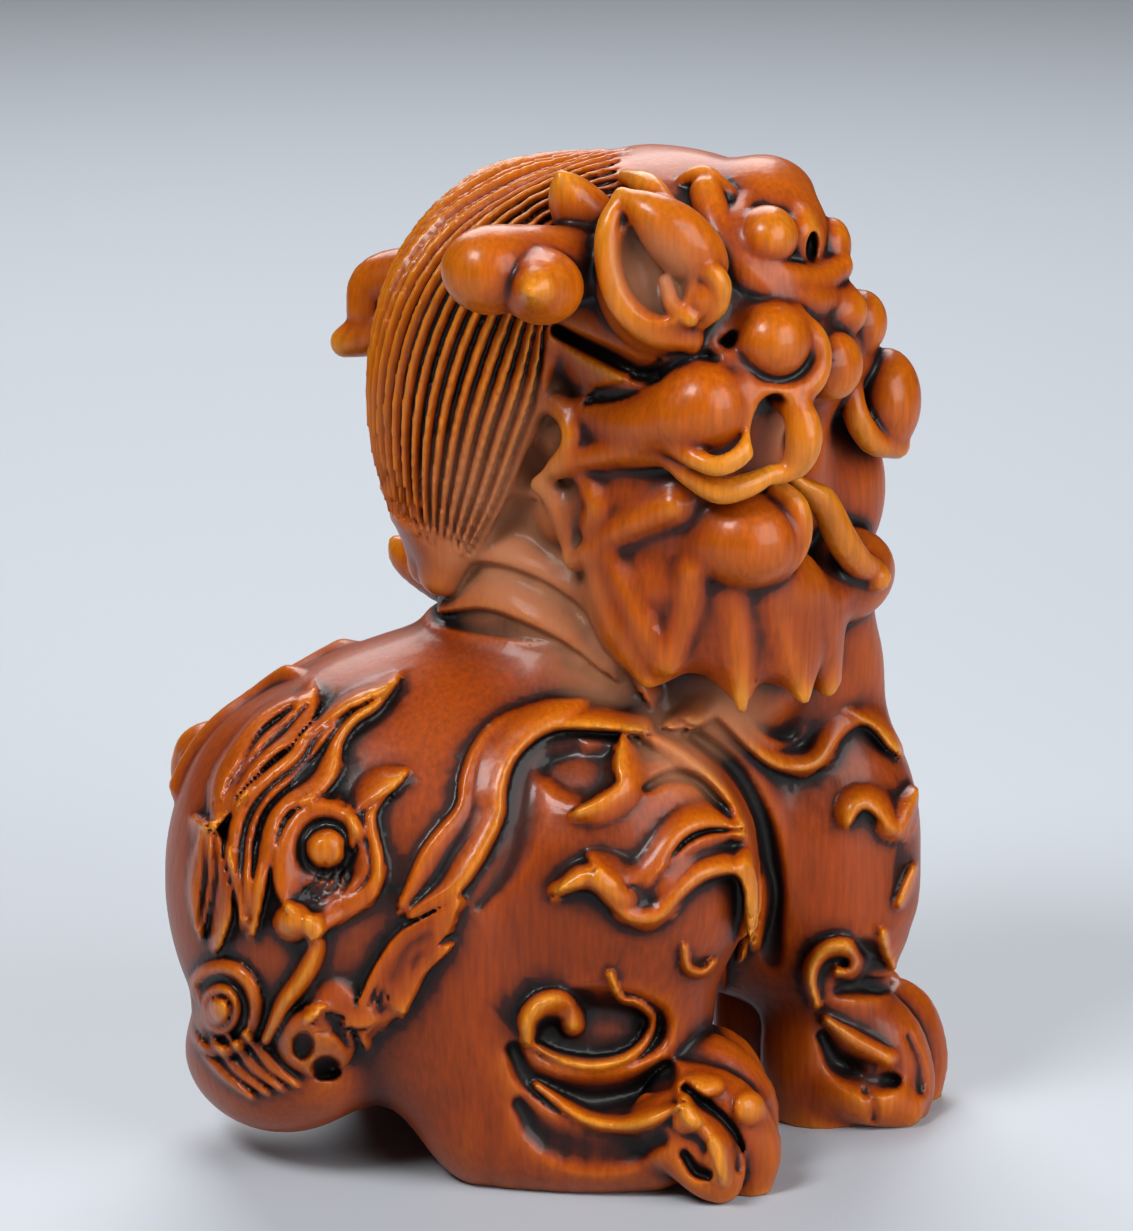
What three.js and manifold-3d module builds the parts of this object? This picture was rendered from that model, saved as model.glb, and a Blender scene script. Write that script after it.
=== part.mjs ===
// Qilin statue: a seated horned beast carved from one piece of boxwood, its head turned to its right.
// The form is worked like clay: balls and tapering limbs are joined and cut with soft seams, raised
// lines and leaves are drawn on its faces, and the skin of the clay is taken as one closed solid.
import * as THREE from "three";
import { edgeTable, triTable } from "three/addons/objects/MarchingCubes.js";
import Module from "manifold-3d";

// Driving dimensions, in millimetres and degrees.
const HEIGHT = 75;
const BODY_TURN = 20;

// Everything below is laid out in units of a hundredth of the height.
const UNIT = HEIGHT / 100;

// The working frame has x to the right, y away from the sighting point and z up, with the soles on z = 0.
// A place is given as seen from the sighting point.
// It is so many marks across and down, about ten to a unit, and so many units deep.
const SIGHT_RISE = 14;
const SIGHT_DISTANCE = 638.6;
const SIGHT_CENTRE = { across: 566.5, down: 615.5 };
const SIGHT_SCALE = 6392;

// A place on the edge of the near hind sole, which sets the level z = 0.
const SOLE_EDGE = { down: 1197, depth: -22 };

// The fineness of the clay and how far beside the skin it is worked, in units.
const GRAIN = 0.64;
const SKIN_BAND = 1.3;

// The solid keeps this share of the height of each mark; the edges of the carving are finer than its faces.
const RELIEF_SHARE = 0.6;

// How far each cell of the clay is evened out with the two cells beside it along an axis.
const BESIDE_SHARE = 0.17;
const OWN_SHARE = 1 - 2 * BESIDE_SHARE;

// The finished skin is thinned to this many flat faces.
const FACE_BUDGET = 9300;
const SOLE_TRIM = 0.04;

// The upright planes that part left from right, of the body and of the head: a point and the way it runs.
const BODY_PLANE = { x: -5, y: 0, angle: BODY_TURN };
const HEAD_PLANE = { x: 12, y: -1, angle: -25 };

// The depth range, in units, of marks drawn on the near side.
const NEAR = [-36, -2];
const RUMP = [-36, 6];
const FRONT = [-20, 11];
const NECK = [-24, 2];

// Grooves of the mane on each side of its crest, how far round they spread and their half width as a share.
const GROOVES = 7;
const GROOVE_SPREAD = 99;
const GROOVE_SHARE = 0.055;

// How far the crest of the mane swings away for each mark to the right, because the body is turned.
const CREST_SLANT = 0.0364;

const wood = new THREE.MeshStandardMaterial({ color: "#8a4a1c", roughness: 0.35, metalness: 0 });

const rise = THREE.MathUtils.degToRad(SIGHT_RISE);
const SINE = Math.sin(rise);
const COSINE = Math.cos(rise);

// How far a place lies above the middle of the sighting.
function liftOf(down, depth) {
  const slope = (SIGHT_CENTRE.down - down) / SIGHT_SCALE;
  return (slope * (SIGHT_DISTANCE + depth * COSINE) - depth * SINE) / (COSINE + slope * SINE);
}

const SIGHT_HEIGHT = -liftOf(SOLE_EDGE.down, SOLE_EDGE.depth);

// The point seen across and down from the sighting point at a depth; anything after the depth is kept.
function at(across, down, depth, ...rest) {
  const lift = liftOf(down, depth);
  const reach = SIGHT_DISTANCE + depth * COSINE - lift * SINE;
  return [((across - SIGHT_CENTRE.across) / SIGHT_SCALE) * reach, depth, SIGHT_HEIGHT + lift, ...rest];
}

// The marks across and down at which a point is seen.
function seen(x, y, z) {
  const lift = z - SIGHT_HEIGHT;
  const reach = SIGHT_DISTANCE + y * COSINE - lift * SINE;
  return [
    SIGHT_CENTRE.across + (SIGHT_SCALE * x) / reach,
    SIGHT_CENTRE.down - (SIGHT_SCALE * (y * SINE + lift * COSINE)) / reach,
  ];
}

// The smaller of two distances with a rounded seam of the given width.
function softMin(a, b, seam) {
  if (seam <= 0) {
    return Math.min(a, b);
  }
  const near = Math.max(seam - Math.abs(a - b), 0) / seam;
  return Math.min(a, b) - near * near * seam * 0.25;
}

// A block of distances to the skin, below zero inside the clay. The steps of the work are kept first, so
// that the block can be cut to the size of what it has to hold.
class Clay {
  constructor(grain) {
    this.grain = grain;
    this.steps = [];
    this.bounds = new THREE.Box3();
  }

  add(shape, seam) {
    this.bounds.expandByPoint(new THREE.Vector3(...shape.low));
    this.bounds.expandByPoint(new THREE.Vector3(...shape.high));
    this.steps.push(() => this.blend(shape, seam, 1));
  }

  cut(shape, seam) {
    this.steps.push(() => this.blend(shape, seam, -1));
  }

  // Raises the skin under a mark by the solid's share of the height, or sinks it when that is below zero.
  emboss(mark, height) {
    this.steps.push(() => this.press(mark, height * RELIEF_SHARE));
  }

  // Carries out every step, then cuts everything below the level of the soles.
  work() {
    this.bounds.min.z = Math.max(this.bounds.min.z, 0);
    this.bounds.expandByScalar(4 * this.grain);
    this.low = this.bounds.min.toArray();
    const extent = this.bounds.getSize(new THREE.Vector3()).toArray();
    this.count = extent.map((length) => Math.ceil(length / this.grain) + 1);
    this.field = new Float32Array(this.count[0] * this.count[1] * this.count[2]).fill(40);
    this.steps.forEach((step) => step());
    this.soften();
    const field = this.field;
    this.within(this.low, this.bounds.max.toArray(), this.grain, (cell, x, y, z) => {
      field[cell] = Math.max(field[cell], -z);
    });
  }

  // Calls work for each cell in a box widened by a margin.
  within(low, high, margin, work) {
    const first = low.map((v, axis) => Math.max(0, Math.ceil((v - margin - this.low[axis]) / this.grain)));
    const last = high.map((v, axis) => {
      return Math.min(this.count[axis] - 1, Math.floor((v + margin - this.low[axis]) / this.grain));
    });
    for (let k = first[2]; k <= last[2]; k += 1) {
      const z = this.low[2] + k * this.grain;
      for (let j = first[1]; j <= last[1]; j += 1) {
        const y = this.low[1] + j * this.grain;
        const row = (k * this.count[1] + j) * this.count[0];
        for (let i = first[0]; i <= last[0]; i += 1) {
          work(row + i, this.low[0] + i * this.grain, y, z);
        }
      }
    }
  }

  // Averages each cell with its neighbours along every axis, which closes slits finer than the grain.
  soften() {
    const strides = [1, this.count[0], this.count[0] * this.count[1]];
    for (const stride of strides) {
      const before = this.field.slice();
      for (let cell = stride; cell < before.length - stride; cell += 1) {
        const beside = before[cell - stride] + before[cell + stride];
        this.field[cell] = before[cell] * OWN_SHARE + beside * BESIDE_SHARE;
      }
    }
  }

  // Joins a shape when the sign is 1 and cuts it away when it is -1.
  blend(shape, seam, sign) {
    const field = this.field;
    this.within(shape.low, shape.high, seam + SKIN_BAND, (cell, x, y, z) => {
      field[cell] = sign * softMin(sign * field[cell], shape.distance(x, y, z), seam);
    });
  }

  press(mark, height) {
    const field = this.field;
    const band = Math.abs(height) + SKIN_BAND;
    this.within(mark.low, mark.high, 0, (cell, x, y, z) => {
      if (Math.abs(field[cell]) < band) {
        field[cell] -= height * mark.weight(x, y, z);
      }
    });
  }
}

// A ball with its own radii, turned about z, then y, then x.
function ball(centre, radii, turn = [0, 0, 0]) {
  const [yaw, pitch, roll] = turn.map(THREE.MathUtils.degToRad);
  const spin = new THREE.Matrix4().makeRotationZ(yaw);
  spin.multiply(new THREE.Matrix4().makeRotationY(pitch));
  spin.multiply(new THREE.Matrix4().makeRotationX(roll));
  const m = spin.elements;
  const reach = [0, 1, 2].map((axis) => {
    return Math.hypot(m[axis] * radii[0], m[axis + 4] * radii[1], m[axis + 8] * radii[2]);
  });
  return {
    low: centre.map((v, axis) => v - reach[axis]),
    high: centre.map((v, axis) => v + reach[axis]),
    distance(x, y, z) {
      const dx = x - centre[0];
      const dy = y - centre[1];
      const dz = z - centre[2];
      let near = 0;
      let steep = 0;
      for (let axis = 0; axis < 3; axis += 1) {
        const column = axis * 4;
        const share = (m[column] * dx + m[column + 1] * dy + m[column + 2] * dz) / radii[axis];
        near += share * share;
        steep += (share / radii[axis]) ** 2;
      }
      near = Math.sqrt(near);
      return (near * (near - 1)) / (Math.sqrt(steep) + 1e-6);
    },
  };
}

// A smooth path through the points, which may carry a width as their last value.
function curve(points, steps, closed = false) {
  const path = [];
  const count = points.length;
  const spans = closed ? count : count - 1;
  const pick = (index) => {
    if (closed) {
      return points[(index + count) % count];
    }
    if (index < 0) {
      return points[0].map((v, axis) => 2 * v - points[1][axis]);
    }
    if (index >= count) {
      return points[count - 1].map((v, axis) => 2 * v - points[count - 2][axis]);
    }
    return points[index];
  };
  for (let span = 0; span < spans; span += 1) {
    const [a, b, c, d] = [-1, 0, 1, 2].map((offset) => pick(span + offset));
    for (let step = 0; step < steps; step += 1) {
      const t = step / steps;
      path.push(b.map((v, axis) => {
        const slope = (c[axis] - a[axis]) * t;
        const bend = (2 * a[axis] - 5 * v + 4 * c[axis] - d[axis]) * t * t;
        const twist = (d[axis] - a[axis] + 3 * (v - c[axis])) * t ** 3;
        return 0.5 * (2 * v + slope + bend + twist);
      }));
    }
  }
  path.push(closed ? path[0] : points[count - 1]);
  return path;
}

// How far along the leg from a to b the point comes, from 0 to 1, over the first few axes.
function along(a, b, point, axes) {
  let dot = 0;
  let size = 1e-9;
  for (let axis = 0; axis < axes; axis += 1) {
    const run = b[axis] - a[axis];
    dot += (point[axis] - a[axis]) * run;
    size += run * run;
  }
  return Math.min(Math.max(dot / size, 0), 1);
}

// A round limb along a smooth path of points that end in its radius.
function limb(points, steps = 4) {
  const path = steps ? curve(points, steps) : points;
  const edge = (axis, sign) => sign * Math.max(...path.map((p) => sign * p[axis] + p[3]));
  return {
    low: [0, 1, 2].map((axis) => edge(axis, -1)),
    high: [0, 1, 2].map((axis) => edge(axis, 1)),
    distance(x, y, z) {
      let best = Infinity;
      for (let leg = 1; leg < path.length; leg += 1) {
        const a = path[leg - 1];
        const b = path[leg];
        const t = along(a, b, [x, y, z], 3);
        const dx = x - a[0] - t * (b[0] - a[0]);
        const dy = y - a[1] - t * (b[1] - a[1]);
        const dz = z - a[2] - t * (b[2] - a[2]);
        const gap = Math.sqrt(dx * dx + dy * dy + dz * dz) - a[3] - t * (b[3] - a[3]);
        best = Math.min(best, gap);
      }
      return best;
    },
  };
}

// The box that holds everything seen within a span of marks over a depth range.
function sightBox(path, width, depth) {
  const box = new THREE.Box3();
  for (const [across, down] of path) {
    for (const side of [-width, width]) {
      for (const level of [-width, width]) {
        box.expandByPoint(new THREE.Vector3(...at(across + side, down + level, depth[0])));
        box.expandByPoint(new THREE.Vector3(...at(across + side, down + level, depth[1])));
      }
    }
  }
  return { low: box.min.toArray(), high: box.max.toArray() };
}

// Lets a mark die out towards the ends of its depth range.
function fade(y, depth) {
  const ramp = (v) => Math.min(Math.max(v / 2, 0), 1);
  return ramp(depth[1] - y) * ramp(y - depth[0]);
}

// How far a spot lies from a path, squared and measured in half widths of the path; 1 is beyond it.
function offPath(path, spot, halfAt) {
  let best = 1;
  for (let leg = 1; leg < path.length; leg += 1) {
    const a = path[leg - 1];
    const b = path[leg];
    const t = along(a, b, spot, 2);
    const du = spot[0] - a[0] - t * (b[0] - a[0]);
    const dv = spot[1] - a[1] - t * (b[1] - a[1]);
    const right = (b[0] - a[0]) * dv - (b[1] - a[1]) * du > 0;
    const half = halfAt(a[2] + t * (b[2] - a[2]), right);
    best = Math.min(best, (du * du + dv * dv) / (half * half));
  }
  return best;
}

// A rounded line drawn on the skin through marks that end in its half width; a share of the width is level.
function stroke(points, depth, closed = false, flat = 0) {
  const path = curve(points, 4, closed);
  return {
    ...sightBox(path, Math.max(...path.map((p) => p[2])), depth),
    weight(x, y, z) {
      const off = Math.sqrt(offPath(path, seen(x, y, z), (half) => Math.max(half, 0.5)));
      const slope = Math.max((off - flat) / (1 - flat), 0);
      return (1 - slope * slope) ** 1.5 * fade(y, depth);
    },
  };
}

// A line that drops steeply on its right and slopes away on its left, so many marks wide.
// Each point ends in a share of both widths.
function ledge(points, depth, steep, gentle) {
  const path = curve(points, 4);
  const halfAt = (share, right) => (right ? steep : gentle) * Math.max(share, 0.05);
  return {
    ...sightBox(path, Math.max(steep, gentle), depth),
    weight(x, y, z) {
      return (1 - offPath(path, seen(x, y, z), halfAt)) ** 1.5 * fade(y, depth);
    },
  };
}

// A closed round line.
function ring(across, down, wide, high, half, depth) {
  const points = [];
  for (let step = 0; step < 9; step += 1) {
    points.push([across + wide * Math.cos(step * 0.7), down + high * Math.sin(step * 0.7), half]);
  }
  return stroke(points, depth, true);
}

// A leaf with a smooth outline; its skin rises over the edge width.
function patch(outline, depth, edge) {
  const path = curve(outline, 3, true);
  return {
    ...sightBox(path, 0, depth),
    weight(x, y, z) {
      const [u, v] = seen(x, y, z);
      let best = Infinity;
      let inside = false;
      for (let leg = 1; leg < path.length; leg += 1) {
        const a = path[leg - 1];
        const b = path[leg];
        const t = along(a, b, [u, v], 2);
        best = Math.min(best, (u - a[0] - t * (b[0] - a[0])) ** 2 + (v - a[1] - t * (b[1] - a[1])) ** 2);
        if (a[1] > v !== b[1] > v && u < a[0] + ((v - a[1]) / (b[1] - a[1])) * (b[0] - a[0])) {
          inside = !inside;
        }
      }
      if (!inside) {
        return 0;
      }
      const share = Math.min(Math.sqrt(best) / edge, 1);
      return share * share * (3 - 2 * share) * fade(y, depth);
    },
  };
}

// A soft round swelling.
function bump(across, down, depth, wide, high) {
  return {
    ...sightBox([[across, down]], Math.max(wide, high), depth),
    weight(x, y, z) {
      const [u, v] = seen(x, y, z);
      const share = ((u - across) / wide) ** 2 + ((v - down) / high) ** 2;
      return Math.sqrt(Math.max(1 - share, 0)) * fade(y, depth);
    },
  };
}

// The same point on the other side of an upright plane.
function opposite(plane, x, y) {
  const angle = THREE.MathUtils.degToRad(plane.angle);
  const nx = -Math.sin(angle);
  const ny = Math.cos(angle);
  const gap = (x - plane.x) * nx + (y - plane.y) * ny;
  return [x - 2 * gap * nx, y - 2 * gap * ny];
}

// The same shape or mark on the other side of an upright plane.
function mirrored(plane, item) {
  const box = new THREE.Box3();
  for (const x of [item.low[0], item.high[0]]) {
    for (const y of [item.low[1], item.high[1]]) {
      const [ox, oy] = opposite(plane, x, y);
      box.expandByPoint(new THREE.Vector3(ox, oy, item.low[2]));
      box.expandByPoint(new THREE.Vector3(ox, oy, item.high[2]));
    }
  }
  return {
    low: box.min.toArray(),
    high: box.max.toArray(),
    distance: (x, y, z) => item.distance(...opposite(plane, x, y), z),
    weight: (x, y, z) => item.weight(...opposite(plane, x, y), z),
  };
}

function addBoth(clay, shape, seam) {
  clay.add(shape, seam);
  clay.add(mirrored(BODY_PLANE, shape), seam);
}

function embossBoth(clay, mark, height) {
  clay.emboss(mark, height);
  clay.emboss(mirrored(BODY_PLANE, mark), height);
}

function shapeBody(clay) {
  clay.add(ball(at(446, 868, -3), [27.5, 21.5, 24.2], [20, 6, 0]), 0);
  clay.add(ball(at(560, 800, 1), [22, 19, 20], [20, 0, 0]), 6);
  clay.add(ball(at(772, 830, 8), [14.2, 13, 18], [20, 0, 0]), 6);
  clay.add(limb([
    at(610, 740, 3, 17), at(590, 630, 2, 14), at(600, 520, 3, 12), at(615, 380, 3, 11.5),
  ]), 5);
  clay.add(limb([
    at(530, 330, 2, 9), at(515, 430, 2, 8.5), at(520, 520, 2, 8), at(535, 600, 1, 9),
  ]), 4);
}

function shapeHindLegs(clay) {
  addBoth(clay, ball(at(612, 868, -13), [14.6, 11.5, 15.2], [10, 0, 0]), 2.5);
  addBoth(clay, ball(at(540, 1010, -13), [17.5, 11, 16], [10, 0, 0]), 4);
  addBoth(clay, limb([at(500, 1115, -15, 7.5), at(580, 1138, -18, 5.6), at(650, 1140, -19, 5.0)]), 3);
  // toes from the nearest to the farthest
  addBoth(clay, limb([
    at(660, 1125, -21, 4.2), at(690, 1138, -23, 4.2), at(712, 1165, -24, 3.4),
    at(722, 1182, -24, 2.2),
  ]), 0.8);
  addBoth(clay, limb([
    at(670, 1095, -18, 4.0), at(722, 1110, -20, 3.6), at(748, 1145, -20, 3.3),
    at(750, 1178, -20, 2.4),
  ]), 0.6);
  addBoth(clay, limb([
    at(660, 1075, -14, 4.4), at(705, 1070, -15, 3.8), at(742, 1100, -15, 3.4),
    at(752, 1140, -14, 2.6),
  ]), 0.6);
  addBoth(clay, limb([
    at(660, 1065, -9, 4.4), at(715, 1060, -10, 3.4), at(738, 1085, -9, 3.0),
    at(745, 1110, -9, 2.4),
  ]), 0.6);
}

function shapeFrontLegs(clay) {
  addBoth(clay, ball(at(830, 845, 3), [8.8, 9, 15.0], [20, 0, 0]), 4);
  addBoth(clay, limb([
    at(830, 900, 3, 8.0), at(824, 985, 4, 6.2), at(815, 1060, 4, 5.6), at(820, 1108, 4, 5.2),
  ]), 3);
  addBoth(clay, limb([
    at(845, 1020, 4, 5.4), at(880, 1045, 4, 4.6), at(894, 1078, 4, 4.2), at(900, 1100, 4, 3.2),
  ]), 1.6);
  addBoth(clay, limb([
    at(870, 1015, 9, 4.4), at(898, 1020, 10, 4.0), at(914, 1055, 10, 3.5), at(916, 1090, 10, 2.7),
  ]), 0.8);
  addBoth(clay, limb([at(840, 1085, 1, 3.6), at(868, 1092, 0, 3.4), at(900, 1104, 1, 2.6)]), 1.0);
}

function fillBetweenFeet(clay) {
  clay.add(ball(at(835, 1050, 11), [6, 5, 7]), 2);
  clay.add(ball(at(575, 1030, 2), [13, 14, 8], [20, 0, 0]), 3);
}

function shapeTail(clay) {
  clay.add(ball(at(276, 895, -10), [9.4, 17, 17.6], [20, 0, 0]), 4);
  clay.add(ball(at(290, 1035, -8), [9, 14, 8.5], [20, 0, 0]), 3);
  clay.add(ball(at(258, 1062, -6), [6.5, 12, 5.5], [20, 0, 0]), 3);
  clay.add(limb([at(224, 738, 2, 1.0), at(208, 762, 3, 3.0), at(206, 790, 3, 2.0)]), 1.5);
  // leaves and ribbons of hair, each from its tip
  const locks = [
    [
      [394, 684, 3], [362, 703, 12], [330, 735, 22], [305, 765, 26], [272, 800, 22],
      [252, 850, 17], [250, 905, 12], [232, 948, 6],
    ],
    [[313, 695, 3], [284, 715, 14], [258, 748, 24], [238, 785, 22], [220, 828, 12]],
    [[206, 832, 7], [216, 865, 17], [213, 900, 18], [198, 940, 10]],
    [[192, 838, 5], [184, 870, 9], [188, 902, 6]],
    [
      [402, 779, 4], [382, 791, 9], [373, 815, 10], [374, 855, 10], [377, 880, 11], [366, 903, 11],
      [342, 918, 9], [320, 926, 6],
    ],
    [[303, 798, 5], [286, 826, 11], [279, 862, 13], [286, 896, 9]],
    [[316, 797, 5], [345, 802, 9], [358, 830, 10], [352, 862, 8], [334, 884, 5]],
    [[457, 902, 4], [430, 924, 10], [405, 943, 15], [390, 972, 18], [372, 1004, 15], [345, 1022, 9]],
    [[424, 948, 5], [420, 985, 9], [400, 1012, 9]],
    [[312, 922, 10], [318, 948, 14], [302, 978, 14], [284, 1004, 12], [270, 1042, 8]],
  ];
  for (const pts of locks) {
    clay.emboss(stroke(pts, RUMP, false, 0.15), 2.4);
  }
  // grooves under the leaves
  for (const pts of [
    [[398, 704, 5], [370, 728, 11], [352, 752, 13], [344, 782, 12], [330, 803, 10], [306, 820, 8]],
    [[318, 716, 5], [294, 746, 9], [268, 772, 9], [250, 804, 9], [236, 838, 8]],
    [[396, 800, 5], [392, 830, 10], [398, 880, 12], [388, 918, 12], [354, 944, 9], [330, 952, 6]],
    [[262, 835, 6], [258, 870, 8], [264, 905, 8], [255, 945, 8]],
    [[238, 860, 6], [240, 900, 8], [226, 945, 8]],
    [[456, 920, 5], [434, 950, 11], [416, 964, 12], [414, 994, 12], [400, 1026, 11], [362, 1046, 8]],
    [[262, 960, 6], [256, 1000, 9], [262, 1040, 8]],
  ]) {
    clay.emboss(stroke(pts, RUMP), -1.2);
  }
  // curls: a knob in the middle and a groove around it
  clay.emboss(bump(324, 846, RUMP, 22, 22), 2.6);
  clay.emboss(ring(324, 846, 29, 30, 8, RUMP), -1.3);
  clay.emboss(bump(293, 922, RUMP, 24, 23), 3.2);
  clay.emboss(stroke([[278, 948, 7], [272, 930, 6], [276, 905, 5], [296, 896, 5]], RUMP), -1.4);
  clay.emboss(bump(222, 1004, RUMP, 40, 50), 2.2);
  clay.emboss(ring(222, 1005, 25, 33, 8, RUMP), -1.3);
  clay.emboss(bump(219, 1006, RUMP, 12, 16), 0.9);
  clay.emboss(bump(320, 1036, RUMP, 44, 34), 2.6);
  clay.emboss(bump(303, 1046, RUMP, 10, 12), -2.2);
  clay.emboss(bump(332, 1070, RUMP, 20, 15), -2.6);
  for (let k = 0; k < 4; k += 1) {
    clay.emboss(stroke([
      [200 + 20 * k, 1048 - 4 * k, 5], [226 + 20 * k, 1078, 8], [258 + 16 * k, 1100, 6],
    ], RUMP, false, 0.3), 1.2);
  }
  // plainer locks on the far RUMP
  for (const pts of [locks[0], locks[1], locks[4], locks[7]]) {
    clay.emboss(mirrored(BODY_PLANE, stroke(pts, RUMP, false, 0.15)), 1.4);
  }
}

function drawHaunches(clay) {
  const draw = (mark, height) => embossBoth(clay, mark, height);
  // band around the haunch, which is lower inside its crest
  draw(patch([
    [635, 700], [575, 694], [528, 706], [492, 732], [468, 764], [460, 812], [450, 850], [428, 880],
    [400, 912], [455, 896], [480, 872], [496, 842], [503, 800], [512, 760], [535, 734], [575, 726],
    [640, 732],
  ], NEAR, 8), 1.3);
  draw(ledge([
    [420, 912, 0.4], [456, 893, 0.8], [482, 868, 1], [498, 832, 1], [503, 790, 1], [514, 754, 1],
    [536, 733, 1], [572, 725, 1], [640, 731, 0.6],
  ], NEAR, 7, 16), 1.3);
  draw(stroke([
    [466, 905, 5], [500, 868, 11], [518, 825, 14], [524, 785, 13], [538, 758, 12], [565, 745, 10],
    [615, 742, 7],
  ], NEAR), -1.3);
  draw(ledge([
    [636, 728, 0.6], [680, 750, 1], [715, 780, 1], [740, 815, 1], [752, 860, 1], [755, 900, 1],
    [742, 955, 0.6],
  ], NEAR, 6, 10), 1.5);
  // hollow and leaf of the upper wave
  draw(patch([
    [545, 748], [612, 742], [617, 765], [614, 790], [590, 808], [556, 800], [532, 775],
  ], NEAR, 14), -1.0);
  draw(patch([
    [620, 734], [690, 762], [738, 826], [705, 826], [672, 858], [640, 880], [606, 862], [580, 816],
    [604, 806], [624, 792], [618, 765],
  ], NEAR, 7), 1.1);
  draw(stroke([[580, 812, 4], [606, 808, 9], [628, 797, 9], [634, 778, 6]], NEAR), 1.2);
  draw(stroke([
    [646, 790, 7], [670, 779, 10], [696, 782, 10], [718, 802, 10], [738, 830, 7],
  ], NEAR), -1.4);
  // ribbon of the lower wave
  draw(stroke([
    [562, 888, 4], [578, 878, 8], [598, 881, 12], [615, 898, 16], [640, 906, 18], [664, 894, 19],
    [686, 868, 20], [716, 852, 20], [742, 862, 14], [753, 892, 9], [750, 935, 6],
  ], NEAR, false, 0.1), 2.2);
  draw(stroke([
    [600, 860, 6], [624, 872, 10], [646, 868, 11], [662, 850, 11], [682, 832, 10], [708, 820, 9],
    [735, 824, 6],
  ], NEAR), -1.2);
  draw(stroke([
    [586, 900, 6], [604, 924, 11], [640, 940, 13], [674, 924, 13], [700, 900, 12], [722, 888, 10],
    [732, 904, 9], [732, 934, 6],
  ], NEAR), -1.4);
}

function drawLegs(clay) {
  const draw = (mark, height) => embossBoth(clay, mark, height);
  // hollow around the ankle, its rim and the hook
  draw(patch([
    [522, 1030], [560, 985], [620, 985], [668, 1005], [672, 1040], [645, 1066], [590, 1074],
    [540, 1062],
  ], NEAR, 22), -3.2);
  draw(stroke([
    [540, 1046, 6], [562, 1054, 7], [592, 1059, 8], [622, 1054, 7], [642, 1038, 7], [648, 1018, 6],
    [636, 1006, 5], [620, 998, 5], [610, 976, 5],
  ], NEAR), 1.8);
  draw(stroke([
    [532, 1040, 8], [532, 1018, 13], [548, 1006, 16], [568, 1008, 18], [576, 1022, 14],
  ], NEAR, false, 0.3), 3.0);
  addBoth(clay, ball(at(744, 990, -10), [2.6, 2.6, 2.8]), 0.8);
  draw(stroke([[684, 946, 5], [688, 968, 6], [704, 972, 6], [714, 962, 5]], NEAR), 0.9);
  // deep hollow over the foot, the crest of the foot and the hollow in its RUMP
  draw(stroke([
    [516, 1050, 8], [535, 1074, 14], [575, 1092, 17], [622, 1094, 17], [662, 1076, 12],
  ], NEAR), -3.8);
  draw(stroke([
    [560, 1098, 6], [588, 1114, 10], [622, 1124, 13], [655, 1122, 13], [682, 1108, 9],
  ], NEAR), 1.8);
  draw(stroke([
    [524, 1108, 8], [546, 1136, 13], [580, 1150, 14], [620, 1152, 13], [654, 1140, 9],
  ], NEAR), -2.8);
  draw(bump(692, 1122, NEAR, 10, 10), 1.0);
  draw(bump(711, 1148, NEAR, 18, 18), 1.4);
  draw(stroke([[694, 1166, 6], [704, 1176, 8], [716, 1170, 6]], NEAR), -2.4);
  // curl on the front leg
  draw(patch([
    [826, 992], [850, 938], [885, 940], [900, 965], [892, 996], [850, 1004],
  ], FRONT, 16), -2.2);
  draw(stroke([
    [812, 992, 7], [808, 968, 11], [822, 952, 12], [844, 950, 13], [854, 964, 11], [842, 974, 7],
  ], FRONT, false, 0.3), 2.6);
  draw(stroke([[884, 930, 5], [882, 950, 7], [890, 966, 5]], FRONT), 1.4);
  // front foot
  draw(stroke([[832, 1040, 8], [848, 1064, 14], [872, 1080, 15], [896, 1080, 9]], FRONT), -2.2);
  draw(stroke([[836, 1028, 6], [862, 1048, 11], [892, 1060, 9]], FRONT), 1.2);
  draw(stroke([[870, 1116, 7], [872, 1100, 8], [862, 1088, 6]], FRONT), -1.4);
  draw(stroke([[912, 1040, 5], [920, 1064, 8], [922, 1094, 7]], FRONT), -1.2);
}

function drawChest(clay) {
  const draw = (mark, height) => embossBoth(clay, mark, height);
  draw(patch([
    [740, 714], [762, 736], [790, 740], [806, 724], [812, 706], [832, 700], [856, 704], [874, 720],
    [898, 756], [884, 752], [868, 728], [848, 728], [836, 742], [822, 762], [800, 770], [774, 766],
    [744, 746], [722, 722],
  ], FRONT, 7), 1.6);
  draw(ledge([
    [672, 728, 0.5], [700, 722, 1], [714, 714, 1], [728, 724, 1], [748, 744, 1], [774, 764, 1],
    [802, 769, 1], [822, 760, 1], [838, 736, 1], [852, 724, 1], [870, 722, 1], [888, 740, 0.8],
  ], FRONT, 6, 14), 1.3);
  draw(stroke([
    [850, 814, 6], [860, 800, 10], [882, 798, 12], [900, 812, 12], [908, 800, 10], [908, 778, 8],
    [898, 760, 6],
  ], FRONT, false, 0.1), 1.8);
  draw(stroke([[862, 816, 5], [880, 820, 7], [896, 832, 6]], FRONT), -0.9);
  draw(stroke([[914, 868, 6], [908, 886, 9], [900, 904, 7]], FRONT), 1.6);
  // groove between the haunch and the chest
  clay.emboss(stroke([
    [690, 735, 5], [728, 770, 8], [752, 820, 10], [764, 880, 10], [764, 950, 9],
  ], NECK), -2.0);
}

function drawNeck(clay) {
  // laps of the plates on the neck
  const laps = [
    [[500, 416, 0.8], [524, 412, 1], [552, 418, 0.8]],
    [[480, 492, 0.8], [512, 492, 1], [552, 500, 0.8]],
    [[450, 562, 0.8], [490, 560, 1], [540, 576, 1], [584, 606, 1], [618, 652, 1], [640, 690, 0.8]],
    [[436, 612, 0.8], [484, 606, 1], [530, 622, 1], [572, 644, 1], [604, 670, 0.8]],
  ];
  for (const pts of laps) {
    clay.emboss(ledge(pts, NECK, 5, 34), 1.1);
  }
}

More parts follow.
